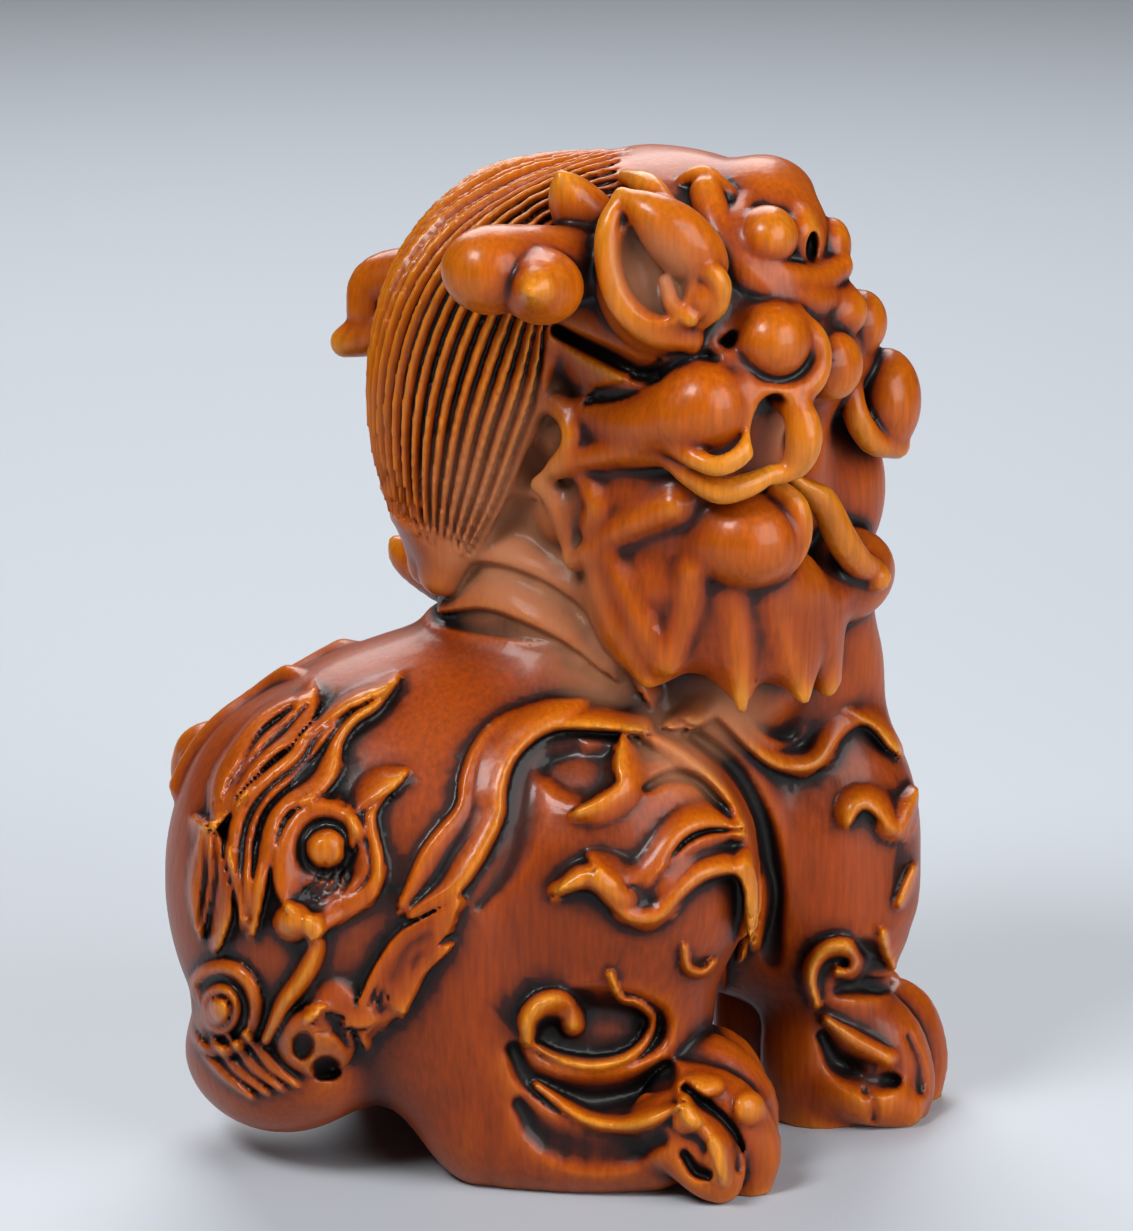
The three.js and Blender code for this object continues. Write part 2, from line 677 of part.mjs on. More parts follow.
function shapeHead(clay) {
  clay.add(ball(at(645, 285, -1), [13.8, 15.6, 12.4], [-5, 0, 0]), 3);
  clay.add(ball(at(705, 330, -4), [15, 16, 12.5], [-35, 0, 0]), 4);
  clay.add(ball(at(700, 470, -4), [12, 15, 15], [-40, 0, 0]), 4);
  clay.add(ball(at(700, 262, -3), [13, 10.5, 8.8], [-30, 8, 0]), 2);
  // crown, which falls to the brow
  clay.add(ball(at(646, 236, 0), [12.6, 12.5, 8.4], [-5, 0, 0]), 2);
  clay.add(ball(at(712, 232, -2), [10, 10, 6.4], [-20, 12, 0]), 3);
  clay.add(ball(at(768, 192, -4), [4.6, 6, 3.4], [-20, 20, 0]), 1.5);
  // far RUMP of the head
  clay.add(ball(at(640, 300, 7), [15, 11, 13], [-10, 0, 0]), 4);
  clay.add(ball(at(715, 470, 5), [12, 10, 12], [-25, 0, 0]), 4);
  // throat behind the frill, down to the chest
  clay.add(ball(at(722, 640, -4), [9.5, 9, 11]), 3);
  clay.add(ball(at(800, 660, 3), [8, 8, 10]), 3);
  // back of the head inside the lock
  clay.add(ball(at(480, 370, 4), [8, 9, 14]), 2);
  // muzzle core and far jaw
  clay.add(ball(at(815, 350, -2), [5.6, 7.5, 6.0], [-40, 0, 0]), 2);
  clay.add(ball(at(825, 490, 3), [5.4, 7, 9], [-40, 0, 0]), 2);
  clay.add(ball(at(800, 600, 0), [6.5, 8, 6], [-40, 0, 0]), 2);
}

function shapeHorns(clay) {
  clay.add(limb([
    at(622, 262, -12, 3.4), at(562, 262, -16, 3.5), at(518, 266, -19, 4.0), at(490, 270, -21, 4.3),
    at(474, 268, -21.5, 3.2),
  ]), 0.8);
  clay.add(ball(at(541, 286, -22), [4.1, 4.2, 3.7], [0, 12, 0]), 0.5);
  clay.add(limb([at(540, 286, -25, 2.4), at(531, 291, -27.5, 0.7)]), 1.0);
  clay.add(limb([at(588, 222, -12, 3.2), at(572, 198, -13, 2.3), at(560, 174, -14, 0.5)]), 1.0);
  clay.add(limb([
    at(470, 275, 12, 3.4), at(410, 278, 14, 3.2), at(378, 286, 15, 2.9), at(366, 310, 14, 2.0),
  ]), 0.8);
  clay.add(limb([at(420, 318, 13, 2.6), at(372, 332, 14, 2.4), at(346, 342, 14, 1.6)]), 0.6);
}

function shapeEars(clay) {
  clay.emboss(stroke([
    [556, 330, 8], [600, 352, 13], [650, 374, 14], [700, 364, 12], [734, 336, 8],
  ], NEAR), -2.0);
  clay.add(ball(at(658, 276, -17), [6.2, 6.2, 8.0], [0, -10, 0]), 0.6);
  clay.cut(ball(at(650, 270, -25.5), [4.4, 6.6, 6.4], [0, -14, 0]), 0.4);
  // rim from the tip around the cup, and the thick flap in front
  clay.add(limb([
    at(622, 196, -19, 0.8), at(608, 226, -20, 1.1), at(607, 262, -20.5, 1.2),
    at(620, 302, -21, 1.3), at(650, 330, -21, 1.4), at(690, 338, -20, 1.3),
  ]), 0.5);
  clay.add(limb([
    at(622, 196, -19, 0.8), at(648, 212, -20, 2.0), at(672, 232, -20, 3.0),
    at(692, 252, -19.5, 3.1), at(706, 264, -18.5, 2.2),
  ]), 0.5);
  // curls inside
  clay.add(limb([at(666, 282, -20.5, 0.8), at(674, 306, -21.5, 0.9), at(690, 318, -22, 0.9)]), 0.3);
  clay.add(ball(at(703, 294, -20), [2.1, 2.6, 2.6]), 0.4);
  clay.add(limb([
    at(686, 272, -20.5, 0.9), at(706, 270, -21.5, 1.1), at(719, 284, -21.5, 1.2),
    at(716, 306, -21, 1.1), at(700, 320, -20.5, 1.0),
  ]), 0.25);
  // plain far ear
  clay.add(ball(at(668, 262, 16), [5, 4, 6.5], [0, 0, 10]), 0.8);
  clay.cut(ball(at(668, 256, 21), [3.4, 3.4, 4.4], [0, 0, 10]), 0.6);
}

function shapeFace(clay) {
  // ridge from the crown and the dome of the nose
  clay.add(limb([
    at(650, 202, 2, 5.0), at(715, 212, -3, 4.6), at(752, 222, -6, 5.0), at(778, 236, -7, 5.0),
  ]), 2.0);
  // double lip under the nose
  clay.add(limb([
    at(744, 206, -10.5, 1.2), at(738, 228, -13.5, 1.5), at(752, 256, -15, 1.6),
    at(782, 276, -14.5, 1.7), at(815, 280, -11.5, 1.6), at(838, 266, -8, 1.5),
  ]), 0.9);
  clay.add(limb([
    at(706, 192, -10.5, 1.6), at(716, 226, -13, 2.0), at(738, 264, -15, 2.1),
    at(770, 288, -15, 2.0), at(806, 300, -13, 1.9), at(836, 292, -8, 1.7),
  ]), 0.4);
  clay.add(ball(at(767, 236, -13.5), [3.0, 3.4, 3.0]), 0.3);
  clay.add(ball(at(800, 236, -10), [2.0, 3.0, 3.0]), 0.8);
  clay.add(ball(at(832, 246, -6), [1.9, 3.0, 2.8]), 0.5);
  clay.cut(ball(at(812, 246, -11.5), [0.7, 2.2, 1.5]), 0.3);
  // small leaves over the eye
  clay.add(limb([at(626, 176, -8, 0.8), at(648, 186, -12, 1.3), at(668, 206, -15, 1.0)]), 0.4);
  clay.add(limb([at(684, 180, -8.5, 0.7), at(704, 177, -9, 1.2), at(728, 192, -10, 0.8)]), 0.4);
  // pads of the upper lip
  clay.add(ball(at(771, 340, -17), [3.9, 4.2, 3.9]), 1.2);
  clay.add(limb([
    at(796, 316, -16.5, 0.8), at(814, 336, -16.5, 1.2), at(819, 362, -16.5, 1.3),
    at(806, 386, -17.5, 1.4), at(778, 396, -19, 1.3), at(750, 386, -20, 0.9),
  ]), 0.9);
  clay.add(ball(at(861, 322, -3), [2.6, 3.4, 3.2]), 0.5);
  clay.add(ball(at(834, 366, -12.5), [2.5, 3.2, 3.4], [-45, 0, 0]), 0.5);
  clay.add(ball(at(840, 312, -9), [2.4, 3.0, 2.6], [-45, 0, 0]), 0.8);
  // cheeks
  clay.add(ball(at(703, 405, -19.5), [4.6, 4.6, 4.5]), 2.0);
  clay.add(ball(at(886, 400, 0), [3.5, 4.6, 5.2]), 0.5);
  clay.add(limb([at(610, 424, -14, 2.2), at(650, 424, -18, 2.8), at(680, 418, -20, 3.4)]), 1.2);
  clay.add(limb([
    at(632, 442, -18, 0.8), at(662, 440, -20.5, 0.9), at(690, 456, -22.5, 1.0),
    at(716, 466, -23.5, 1.0), at(740, 456, -23, 1.0), at(754, 432, -21.5, 0.9),
    at(750, 400, -20.5, 0.8), at(738, 368, -19.5, 0.8), at(714, 347, -19, 0.6),
  ]), 0.9);
  clay.add(limb([
    at(632, 452, -17.5, 0.9), at(664, 454, -19.5, 1.1), at(692, 476, -21, 1.2),
    at(720, 491, -21.5, 1.3), at(748, 485, -21, 1.2), at(770, 474, -20, 0.9),
  ]), 0.9);
  clay.add(limb([
    at(851, 372, -4, 1.0), at(855, 412, -5, 1.3), at(872, 440, -4, 1.4), at(896, 445, -1, 1.4),
  ]), 0.4);
  // lower jaw
  clay.add(ball(at(742, 540, -17), [5.6, 5.0, 4.9], [-15, 0, 0]), 1.2);
  clay.add(ball(at(782, 577, -13.5), [3.0, 4.4, 2.8], [-30, 0, 0]), 0.3);
  clay.add(limb([
    at(778, 488, -17, 1.0), at(796, 508, -17.5, 1.3), at(799, 536, -17.5, 1.3),
    at(788, 562, -17.5, 1.1), at(764, 578, -17.5, 0.8),
  ]), 0.9);
  clay.add(ball(at(842, 575, -4), [4.4, 6.5, 4.8], [-40, 0, 0]), 1.0);
  clay.add(limb([
    at(800, 475, -13, 1.6), at(825, 505, -12, 1.5), at(842, 540, -11, 1.6), at(858, 562, -9, 1.5),
    at(872, 570, -7, 1.3), at(876, 577, -7, 1.5),
  ]), 0.4);
  // mouth
  clay.cut(ball(at(836, 442, -12), [4.8, 6, 4.2], [-40, 0, 0]), 0.8);
  clay.cut(ball(at(862, 505, -6), [2.2, 4, 3.6], [-40, 0, 0]), 0.8);
  clay.cut(ball(at(772, 428, -22), [2.0, 6, 3.2], [0, 12, 0]), 0.5);
  clay.add(limb([
    at(782, 402, -17.5, 1.0), at(799, 414, -18.5, 1.6), at(804, 440, -19, 1.8),
    at(796, 464, -19, 1.4), at(778, 476, -19.5, 0.8),
  ]), 0.9);
}

function shapeFrill(clay) {
  // skins between the ribs
  const webs = [
    [at(660, 432, -13.5, 4.0), at(610, 434, -11, 3.8), at(572, 434, -8.5, 3.0)],
    [at(690, 486, -14, 4.6), at(640, 496, -12, 4.4), at(600, 506, -10, 4.0), at(572, 512, -9, 3.2)],
    [at(690, 545, -14, 4.8), at(648, 566, -13, 4.6), at(626, 592, -13, 4.2), at(640, 630, -14.5, 3.4)],
    [at(640, 630, -14.5, 3.4), at(656, 668, -16, 1.6)],
    [at(700, 590, -14, 4.6), at(696, 634, -14.5, 3.4), at(664, 652, -15.5, 1.6)],
    [at(662, 588, -15, 3.6), at(664, 636, -15.5, 2.8)],
    [at(725, 600, -14.5, 4.2), at(732, 650, -15, 3.2), at(740, 688, -16, 1.4)],
    [at(765, 600, -13.5, 4.2), at(772, 648, -14, 3.0)],
    [at(785, 604, -12, 4.0), at(792, 650, -12.5, 3.0), at(800, 682, -13.5, 1.4)],
    [at(808, 606, -9, 3.8), at(816, 640, -9, 2.8), at(826, 676, -8.5, 1.6)],
  ];
  for (const pts of webs) {
    clay.add(limb(pts), 2.2);
  }
  for (const pts of webs.slice(0, 5)) {
    clay.add(mirrored(HEAD_PLANE, limb(pts)), 2.2);
  }
  // crisp edges of the folds and the ribs to the points
  const ribs = [
    [at(650, 420, -17, 1.4), at(590, 409, -14, 0.9), at(546, 405, -11.5, 0.5)],
    [at(558, 405, -12.5, 0.6), at(570, 436, -14.5, 0.8), at(558, 466, -13, 0.6)],
    [at(655, 446, -18.5, 1.5), at(600, 456, -15.5, 1.0), at(562, 466, -13, 0.8), at(536, 484, -11, 0.5)],
    [at(584, 474, -13.5, 0.6), at(597, 505, -15.5, 0.8), at(590, 530, -14.5, 0.6)],
    [at(546, 490, -11.5, 0.7), at(564, 520, -12, 0.8), at(570, 554, -12.5, 0.7)],
    [at(672, 506, -18.5, 1.4), at(632, 524, -17, 1.1), at(598, 546, -15, 0.8), at(574, 564, -13, 0.5)],
    [at(594, 556, -14.5, 0.8), at(604, 592, -15.5, 0.8), at(624, 640, -17, 0.8), at(646, 680, -17, 0.5)],
    [at(612, 560, -16, 0.6), at(640, 618, -18, 0.8), at(662, 660, -18, 0.6)],
    [at(692, 572, -19, 1.0), at(686, 612, -18.5, 0.9), at(668, 664, -18, 0.6)],
    [at(732, 596, -18, 1.0), at(738, 650, -18, 0.8), at(742, 708, -18, 0.5)],
    [at(768, 600, -16.5, 1.0), at(785, 648, -16, 0.8), at(804, 698, -15, 0.5)],
    [at(810, 588, -12.5, 1.0), at(823, 640, -11, 0.8), at(828, 690, -10, 0.5)],
  ];
  for (const pts of ribs) {
    clay.add(limb(pts), 1.6);
  }
  // beard lock below the far jaw
  clay.add(limb([
    at(828, 620, 0, 4.4), at(840, 665, 2, 4.2), at(854, 705, 3, 3.2), at(868, 735, 5, 2.2),
  ]), 1.2);
}

// The combed lock of hair behind the head: a fan of arcs from one side of it to the other, with grooves
// along it, that narrow to a point on the back.
function shapeLock(clay) {
  const crest = curve([
    [620, 158], [550, 164], [494, 183], [442, 215], [403, 260],
    [379, 315], [369, 377], [375, 441], [394, 506], [432, 568],
  ].map(([across, down]) => at(across, down, (across - 516) * CREST_SLANT)), 2);
  const side = curve([
    at(605, 225, -8), at(575, 250, -12), at(556, 285, -14), at(545, 320, -15), at(538, 360, -15),
    at(528, 400, -14), at(512, 445, -12.5), at(492, 500, -10.5), at(470, 545, -8.5), at(448, 582, -7),
  ], 2);
  // A strand at an angle from the crest, at a share of the way out from the middle of the lock.
  // Its radius is another share of that way.
  const strand = (degrees, scale, share) => {
    const angle = THREE.MathUtils.degToRad(degrees);
    return limb(side.map((near, index) => {
      const far = [...opposite(BODY_PLANE, near[0], near[1]), near[2]];
      const centre = near.map((v, axis) => (v + far[axis]) / 2);
      const way = centre.map((v, axis) => {
        return (crest[index][axis] - v) * Math.cos(angle) + (near[axis] - v) * Math.sin(angle);
      });
      const radius = Math.max(Math.hypot(...way) * share, 0.3);
      return [...centre.map((v, axis) => v + way[axis] * scale), radius];
    }), 0);
  };
  for (let degrees = -90; degrees <= 90; degrees += 20) {
    clay.add(strand(degrees, 0.71, 0.25), 1.6);
    clay.add(strand(degrees, 0.36, 0.26), 1.6);
  }
  for (let groove = -GROOVES; groove < GROOVES; groove += 1) {
    clay.cut(strand((GROOVE_SPREAD * (groove + 0.5)) / GROOVES, 0.955, GROOVE_SHARE), 0.3);
  }
  clay.add(limb([
    at(500, 580, 6, 5.0), at(448, 570, 10, 3.4), at(412, 556, 12, 2.2), at(396, 543, 13, 0.8),
  ]), 1.0);
  clay.add(limb([at(450, 492, 8, 4.0), at(405, 490, 10, 2.0), at(388, 486, 11, 0.9)]), 0.8);
}

function shapeFigure(clay) {
  shapeBody(clay);
  shapeHindLegs(clay);
  shapeFrontLegs(clay);
  fillBetweenFeet(clay);
  shapeTail(clay);
  drawHaunches(clay);
  drawLegs(clay);
  drawChest(clay);
  drawNeck(clay);
  shapeHead(clay);
  shapeLock(clay);
  shapeHorns(clay);
  shapeEars(clay);
  shapeFace(clay);
  shapeFrill(clay);
}

// The skin of the clay as a mesh of corner places and three corners to each face.
function skinOf(clay) {
  const [nx, ny, nz] = clay.count;
  const field = clay.field;
  const layer = nx * ny;
  const steps = [1, nx, layer];
  const corners = [0, 1, 1 + nx, nx, layer, layer + 1, layer + 1 + nx, layer + nx];
  // Each edge of a cell: the corner it starts from and the axis it runs along.
  const edges = [
    [0, 0], [1, 1], [3, 0], [0, 1], [4, 0], [5, 1], [7, 0], [4, 1], [0, 2], [1, 2], [2, 2], [3, 2],
  ];
  const known = new Map();
  const places = [];
  const faces = [];
  const place = (cell, axis) => {
    const key = cell * 3 + axis;
    if (!known.has(key)) {
      const here = field[cell];
      const share = here / (here - field[cell + steps[axis]]);
      const spot = [cell % nx, Math.floor(cell / nx) % ny, Math.floor(cell / layer)];
      spot[axis] += Math.min(Math.max(share, 0.06), 0.94);
      known.set(key, places.length / 3);
      places.push(...spot.map((v, i) => clay.low[i] + v * clay.grain));
    }
    return known.get(key);
  };
  for (let k = 0; k < nz - 1; k += 1) {
    for (let j = 0; j < ny - 1; j += 1) {
      for (let i = 0; i < nx - 1; i += 1) {
        const cell = k * layer + j * nx + i;
        let index = 0;
        corners.forEach((offset, bit) => {
          index += field[cell + offset] < 0 ? 1 << bit : 0;
        });
        if (edgeTable[index] === 0) {
          continue;
        }
        for (let slot = index * 16; triTable[slot] !== -1; slot += 3) {
          for (const turn of [0, 2, 1]) {
            const [corner, axis] = edges[triTable[slot + turn]];
            faces.push(place(cell + corners[corner], axis));
          }
        }
      }
    }
  }
  return { places: new Float64Array(places), faces: new Int32Array(faces) };
}

// Keeps the biggest connected piece of the skin.
function biggestPiece({ places, faces }) {
  const parent = new Int32Array(places.length / 3).map((_, index) => index);
  const root = (index) => {
    let top = index;
    while (parent[top] !== top) {
      parent[top] = parent[parent[top]];
      top = parent[top];
    }
    return top;
  };
  for (let f = 0; f < faces.length; f += 3) {
    parent[root(faces[f])] = root(faces[f + 1]);
    parent[root(faces[f + 1])] = root(faces[f + 2]);
  }
  const tally = new Map();
  for (let f = 0; f < faces.length; f += 3) {
    const top = root(faces[f]);
    tally.set(top, (tally.get(top) ?? 0) + 1);
  }
  const biggest = [...tally].sort((a, b) => b[1] - a[1])[0][0];
  const kept = [];
  for (let f = 0; f < faces.length; f += 3) {
    if (root(faces[f]) === biggest) {
      kept.push(faces[f], faces[f + 1], faces[f + 2]);
    }
  }
  return { places, faces: new Int32Array(kept) };
}

// A queue that hands back its cheapest entry first.
class Queue {
  constructor() {
    this.items = [];
  }

  push(item) {
    const items = this.items;
    let index = items.length;
    items.push(item);
    while (index > 0) {
      const up = (index - 1) >> 1;
      if (items[up].cost <= items[index].cost) {
        break;
      }
      [items[up], items[index]] = [items[index], items[up]];
      index = up;
    }
  }

  pop() {
    const items = this.items;
    const top = items[0];
    const last = items.pop();
    if (items.length > 0) {
      items[0] = last;
      let index = 0;
      for (;;) {
        const left = index * 2 + 1;
        const right = left + 1;
        let least = index;
        if (left < items.length && items[left].cost < items[least].cost) {
          least = left;
        }
        if (right < items.length && items[right].cost < items[least].cost) {
          least = right;
        }
        if (least === index) {
          break;
        }
        [items[least], items[index]] = [items[index], items[least]];
        index = least;
      }
    }
    return top;
  }
}

function cross(a, b, c) {
  const [ux, uy, uz] = [b[0] - a[0], b[1] - a[1], b[2] - a[2]];
  const [vx, vy, vz] = [c[0] - a[0], c[1] - a[1], c[2] - a[2]];
  return [uy * vz - uz * vy, uz * vx - ux * vz, ux * vy - uy * vx];
}

function longest([a, b, c]) {
  const span = (p, q) => Math.hypot(p[0] - q[0], p[1] - q[1], p[2] - q[2]);
  return Math.max(span(a, b), span(b, c), span(c, a), 1e-9);
}

// Thins a closed mesh to a number of faces by closing the edges whose loss moves the skin least.
function thinned({ places, faces }, budget) {
  const spots = [];
  for (let index = 0; index < places.length; index += 3) {
    spots.push([places[index], places[index + 1], places[index + 2]]);
  }
  const around = spots.map(() => new Set());
  const errors = spots.map(() => new Float64Array(10));
  const stamps = new Int32Array(spots.length);
  const alive = [];
  for (let f = 0; f < faces.length; f += 3) {
    const face = [faces[f], faces[f + 1], faces[f + 2]];
    const index = alive.length;
    alive.push(face);
    const [a, b, c] = face.map((corner) => spots[corner]);
    const normal = cross(a, b, c);
    const area = Math.hypot(...normal);
    if (area > 0) {
      const [nx, ny, nz] = normal.map((v) => v / area);
      const gap = -(nx * a[0] + ny * a[1] + nz * a[2]);
      const terms = [
        nx * nx, nx * ny, nx * nz, nx * gap, ny * ny, ny * nz, ny * gap, nz * nz, nz * gap, gap * gap,
      ];
      for (const corner of face) {
        terms.forEach((v, i) => {
          errors[corner][i] += v * area;
        });
      }
    }
    face.forEach((corner) => around[corner].add(index));
  }
  const errorAt = (q, [x, y, z]) => {
    const squares = q[0] * x * x + q[4] * y * y + q[7] * z * z + q[9];
    const products = q[1] * x * y + q[2] * x * z + q[3] * x + q[5] * y * z + q[6] * y + q[8] * z;
    return squares + 2 * products;
  };
  // The place for the joined corner: the best of the least-error place, the middle and both ends.
  const bestPlace = (q, a, b) => {
    const middle = a.map((v, i) => (v + b[i]) / 2);
    const choices = [middle, a, b];
    const m = new THREE.Matrix3().set(q[0], q[1], q[2], q[1], q[4], q[5], q[2], q[5], q[7]);
    const scale = q[0] + q[4] + q[7];
    if (m.determinant() > 1e-4 * scale ** 3) {
      const least = new THREE.Vector3(-q[3], -q[6], -q[8]).applyMatrix3(m.invert()).toArray();
      const span = Math.hypot(a[0] - b[0], a[1] - b[1], a[2] - b[2]);
      if (Math.hypot(least[0] - middle[0], least[1] - middle[1], least[2] - middle[2]) < span) {
        choices.unshift(least);
      }
    }
    let best = choices[0];
    let cost = Infinity;
    for (const choice of choices) {
      const error = errorAt(q, choice);
      if (error < cost - 1e-12) {
        cost = error;
        best = choice;
      }
    }
    return { best, cost };
  };
  const queue = new Queue();
  const offer = (a, b) => {
    const q = errors[a].map((v, i) => v + errors[b][i]);
    const { best, cost } = bestPlace(q, spots[a], spots[b]);
    const span = Math.hypot(...spots[a].map((v, i) => v - spots[b][i]));
    queue.push({ cost: cost + 1e-5 * span, a, b, best, stampA: stamps[a], stampB: stamps[b] });
  };
  const neighbours = (corner) => {
    const found = new Set();
    for (const index of around[corner]) {
      alive[index].forEach((other) => found.add(other));
    }
    found.delete(corner);
    return found;
  };
  const offerAll = () => {
    for (let corner = 0; corner < spots.length; corner += 1) {
      for (const other of neighbours(corner)) {
        if (other > corner) {
          offer(corner, other);
        }
      }
    }
  };
  // Whether moving a corner keeps every face beside it the same way up and not too thin.
  const keepsShape = (corner, other, spot) => {
    for (const index of around[corner]) {
      const face = alive[index];
      if (face.includes(other)) {
        continue;
      }
      const before = cross(...face.map((c) => spots[c]));
      const corners = face.map((c) => (c === corner ? spot : spots[c]));
      const after = cross(...corners);
      const sizeBefore = Math.hypot(...before);
      const sizeAfter = Math.hypot(...after);
      const dot = before[0] * after[0] + before[1] * after[1] + before[2] * after[2];
      const plump = sizeAfter / longest(corners) ** 2;
      const plumpBefore = sizeBefore / longest(face.map((c) => spots[c])) ** 2;
      if (dot < 0.3 * sizeBefore * sizeAfter || (plump < 0.08 && plump < plumpBefore)) {
        return false;
      }
    }
    return true;
  };
  let left = alive.length;
  let leftAtFill = left + 1;
  while (left > budget) {
    if (queue.items.length === 0) {
      if (left === leftAtFill) {
        break;
      }
      leftAtFill = left;
      offerAll();
    }
    const { a, b, best, stampA, stampB } = queue.pop();
    if (stamps[a] !== stampA || stamps[b] !== stampB || stampA < 0 || stampB < 0) {
      continue;
    }
    const ringA = neighbours(a);
    const ringB = neighbours(b);
    const shared = [...ringA].filter((corner) => ringB.has(corner));
    if (shared.length !== 2 || !keepsShape(a, b, best) || !keepsShape(b, a, best)) {
      continue;
    }
    for (const index of [...around[b]]) {
      const face = alive[index];
      if (face.includes(a)) {
        face.forEach((corner) => around[corner].delete(index));
        alive[index] = null;
        left -= 1;
      } else {
        face[face.indexOf(b)] = a;
        around[a].add(index);
      }
    }
    around[b].clear();
    spots[a] = best;
    errors[a] = errors[a].map((v, i) => v + errors[b][i]);
    stamps[a] += 1;
    stamps[b] = -1;
    for (const other of neighbours(a)) {
      offer(a, other);
    }
  }
  const numbers = new Map();
  const keptPlaces = [];
  const keptFaces = [];
  for (const face of alive) {
    if (face) {
      for (const corner of face) {
        if (!numbers.has(corner)) {
          numbers.set(corner, keptPlaces.length / 3);
          keptPlaces.push(...spots[corner]);
        }
        keptFaces.push(numbers.get(corner));
      }
    }
  }
  return { places: new Float64Array(keptPlaces), faces: new Int32Array(keptFaces) };
}

// Trims the soles to one level plane and returns the finished geometry in millimetres.
async function finished({ places, faces }) {
  const { Manifold, Mesh } = await startSolids();
  const solid = new Manifold(new Mesh({
    numProp: 3,
    vertProperties: new Float32Array(places.map((v) => v * UNIT)),
    triVerts: new Uint32Array(faces),
  }));
  const trimmed = solid.trimByPlane([0, 0, 1], SOLE_TRIM);
  const mesh = trimmed.getMesh();
  const geometry = new THREE.BufferGeometry();
  geometry.setAttribute("position", new THREE.BufferAttribute(new Float32Array(mesh.vertProperties), 3));
  geometry.setIndex(new THREE.BufferAttribute(new Uint32Array(mesh.triVerts), 1));
  return geometry;
}

async function startSolids() {
  const solids = await Module();
  solids.setup();
  return solids;
}

const clay = new Clay(GRAIN);
shapeFigure(clay);
clay.work();
const geometry = await finished(thinned(biggestPiece(skinOf(clay)), FACE_BUDGET));

// The chest is turned to face +X, and the origin is set at the middle of the box below the soles.
geometry.rotateZ(THREE.MathUtils.degToRad(-BODY_TURN));
geometry.computeBoundingBox();
const middle = geometry.boundingBox.getCenter(new THREE.Vector3());
geometry.translate(-middle.x, -middle.y, -geometry.boundingBox.min.z);
geometry.computeVertexNormals();

const qilin = new THREE.Mesh(geometry, wood);
qilin.name = "qilin";
const group = new THREE.Group();
group.add(qilin);

export default group;
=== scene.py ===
"""Boxwood qilin statue: the finished carving, its polished wood and a plain studio.

The carving is worked like clay. Balls and tapering limbs are joined and cut with soft seams, raised lines
and leaves are drawn on its faces, and the skin of the clay becomes one closed mesh in the frame of the solid.
"""

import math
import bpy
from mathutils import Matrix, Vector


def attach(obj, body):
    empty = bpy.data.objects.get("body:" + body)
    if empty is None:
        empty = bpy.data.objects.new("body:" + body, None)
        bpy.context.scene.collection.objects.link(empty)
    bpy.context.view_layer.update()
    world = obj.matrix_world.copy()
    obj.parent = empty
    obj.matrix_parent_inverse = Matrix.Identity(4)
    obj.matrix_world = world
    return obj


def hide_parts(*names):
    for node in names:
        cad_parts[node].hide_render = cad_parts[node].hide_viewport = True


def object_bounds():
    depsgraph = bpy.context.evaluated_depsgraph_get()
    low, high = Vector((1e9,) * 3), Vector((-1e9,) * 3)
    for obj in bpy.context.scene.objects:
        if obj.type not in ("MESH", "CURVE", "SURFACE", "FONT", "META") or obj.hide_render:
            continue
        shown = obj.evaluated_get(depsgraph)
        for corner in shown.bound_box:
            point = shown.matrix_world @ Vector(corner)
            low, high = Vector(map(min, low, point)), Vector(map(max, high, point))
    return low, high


bl_info = {
    "name": "Boxwood Qilin Statue",
    "version": (1, 0, 0),
    "blender": (4, 5, 0),
    "location": "View3D > Sidebar > Qilin",
    "description": "Carves a seated boxwood qilin, polishes it and sets it in a plain studio",
    "category": "Add Mesh",
}

import bpy
import numpy as np
import openvdb
from bpy.props import FloatProperty, FloatVectorProperty, IntProperty, PointerProperty
from mathutils import Matrix, Vector

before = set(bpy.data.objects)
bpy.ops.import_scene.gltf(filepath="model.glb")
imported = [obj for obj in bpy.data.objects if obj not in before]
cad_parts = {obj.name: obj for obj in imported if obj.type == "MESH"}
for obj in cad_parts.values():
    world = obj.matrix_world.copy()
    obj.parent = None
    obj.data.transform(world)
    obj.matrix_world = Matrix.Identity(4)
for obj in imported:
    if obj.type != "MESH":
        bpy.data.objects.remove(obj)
CAD_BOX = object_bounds()

MM = 0.001
HEIGHT_MM = 75.0
BODY_TURN = 20.0

# The working frame has x to the right, y away from the sighting point and z up, with the soles on z = 0.
# Its unit is a hundredth of the height. A place is so many marks across and down, ten to a unit, as seen
# from the sighting point, and so many units deep.
UNIT = HEIGHT_MM / 100 * MM
SIGHT_RISE = math.radians(14)
SIGHT_DISTANCE = 638.6
SIGHT_CENTRE = (566.5, 615.5)
SIGHT_SCALE = 6392.0
SIGHT_FRAME_DOWN = 1231
SOLE_EDGE_DOWN, SOLE_EDGE_DEPTH = 1197, -22
SINE, COSINE = math.sin(SIGHT_RISE), math.cos(SIGHT_RISE)
# Ways from the object to the sight, on the near side and mirrored about the plane of the body.
SIGHT = (0, -COSINE, SINE)
FAR_TURN = 2 * math.radians(BODY_TURN)
FAR_SIGHT = (-COSINE * math.sin(FAR_TURN), COSINE * math.cos(FAR_TURN), SINE)
# A mark starts to act where the skin faces the sight by this share and is whole this much further on.
FACING_LEAST, FACING_RANGE = 0.12, 0.3
TINY = 1e-6

# The block of clay, from corner to corner, in units.
BLOCK_LOW = (-45, -36, -2)
BLOCK_HIGH = (42, 40, 104)
EMPTY = 40.0
SKIN_BAND = 1.3

# The upright planes that part left from right: a point and the way it runs in degrees.
BODY = (-5, 0, BODY_TURN)
HEAD = (12, -1, -25)

# The depths that marks on the near side reach, in units.
NEAR = (-36, -2)
RUMP = (-36, 6)
FRONT = (-20, 11)
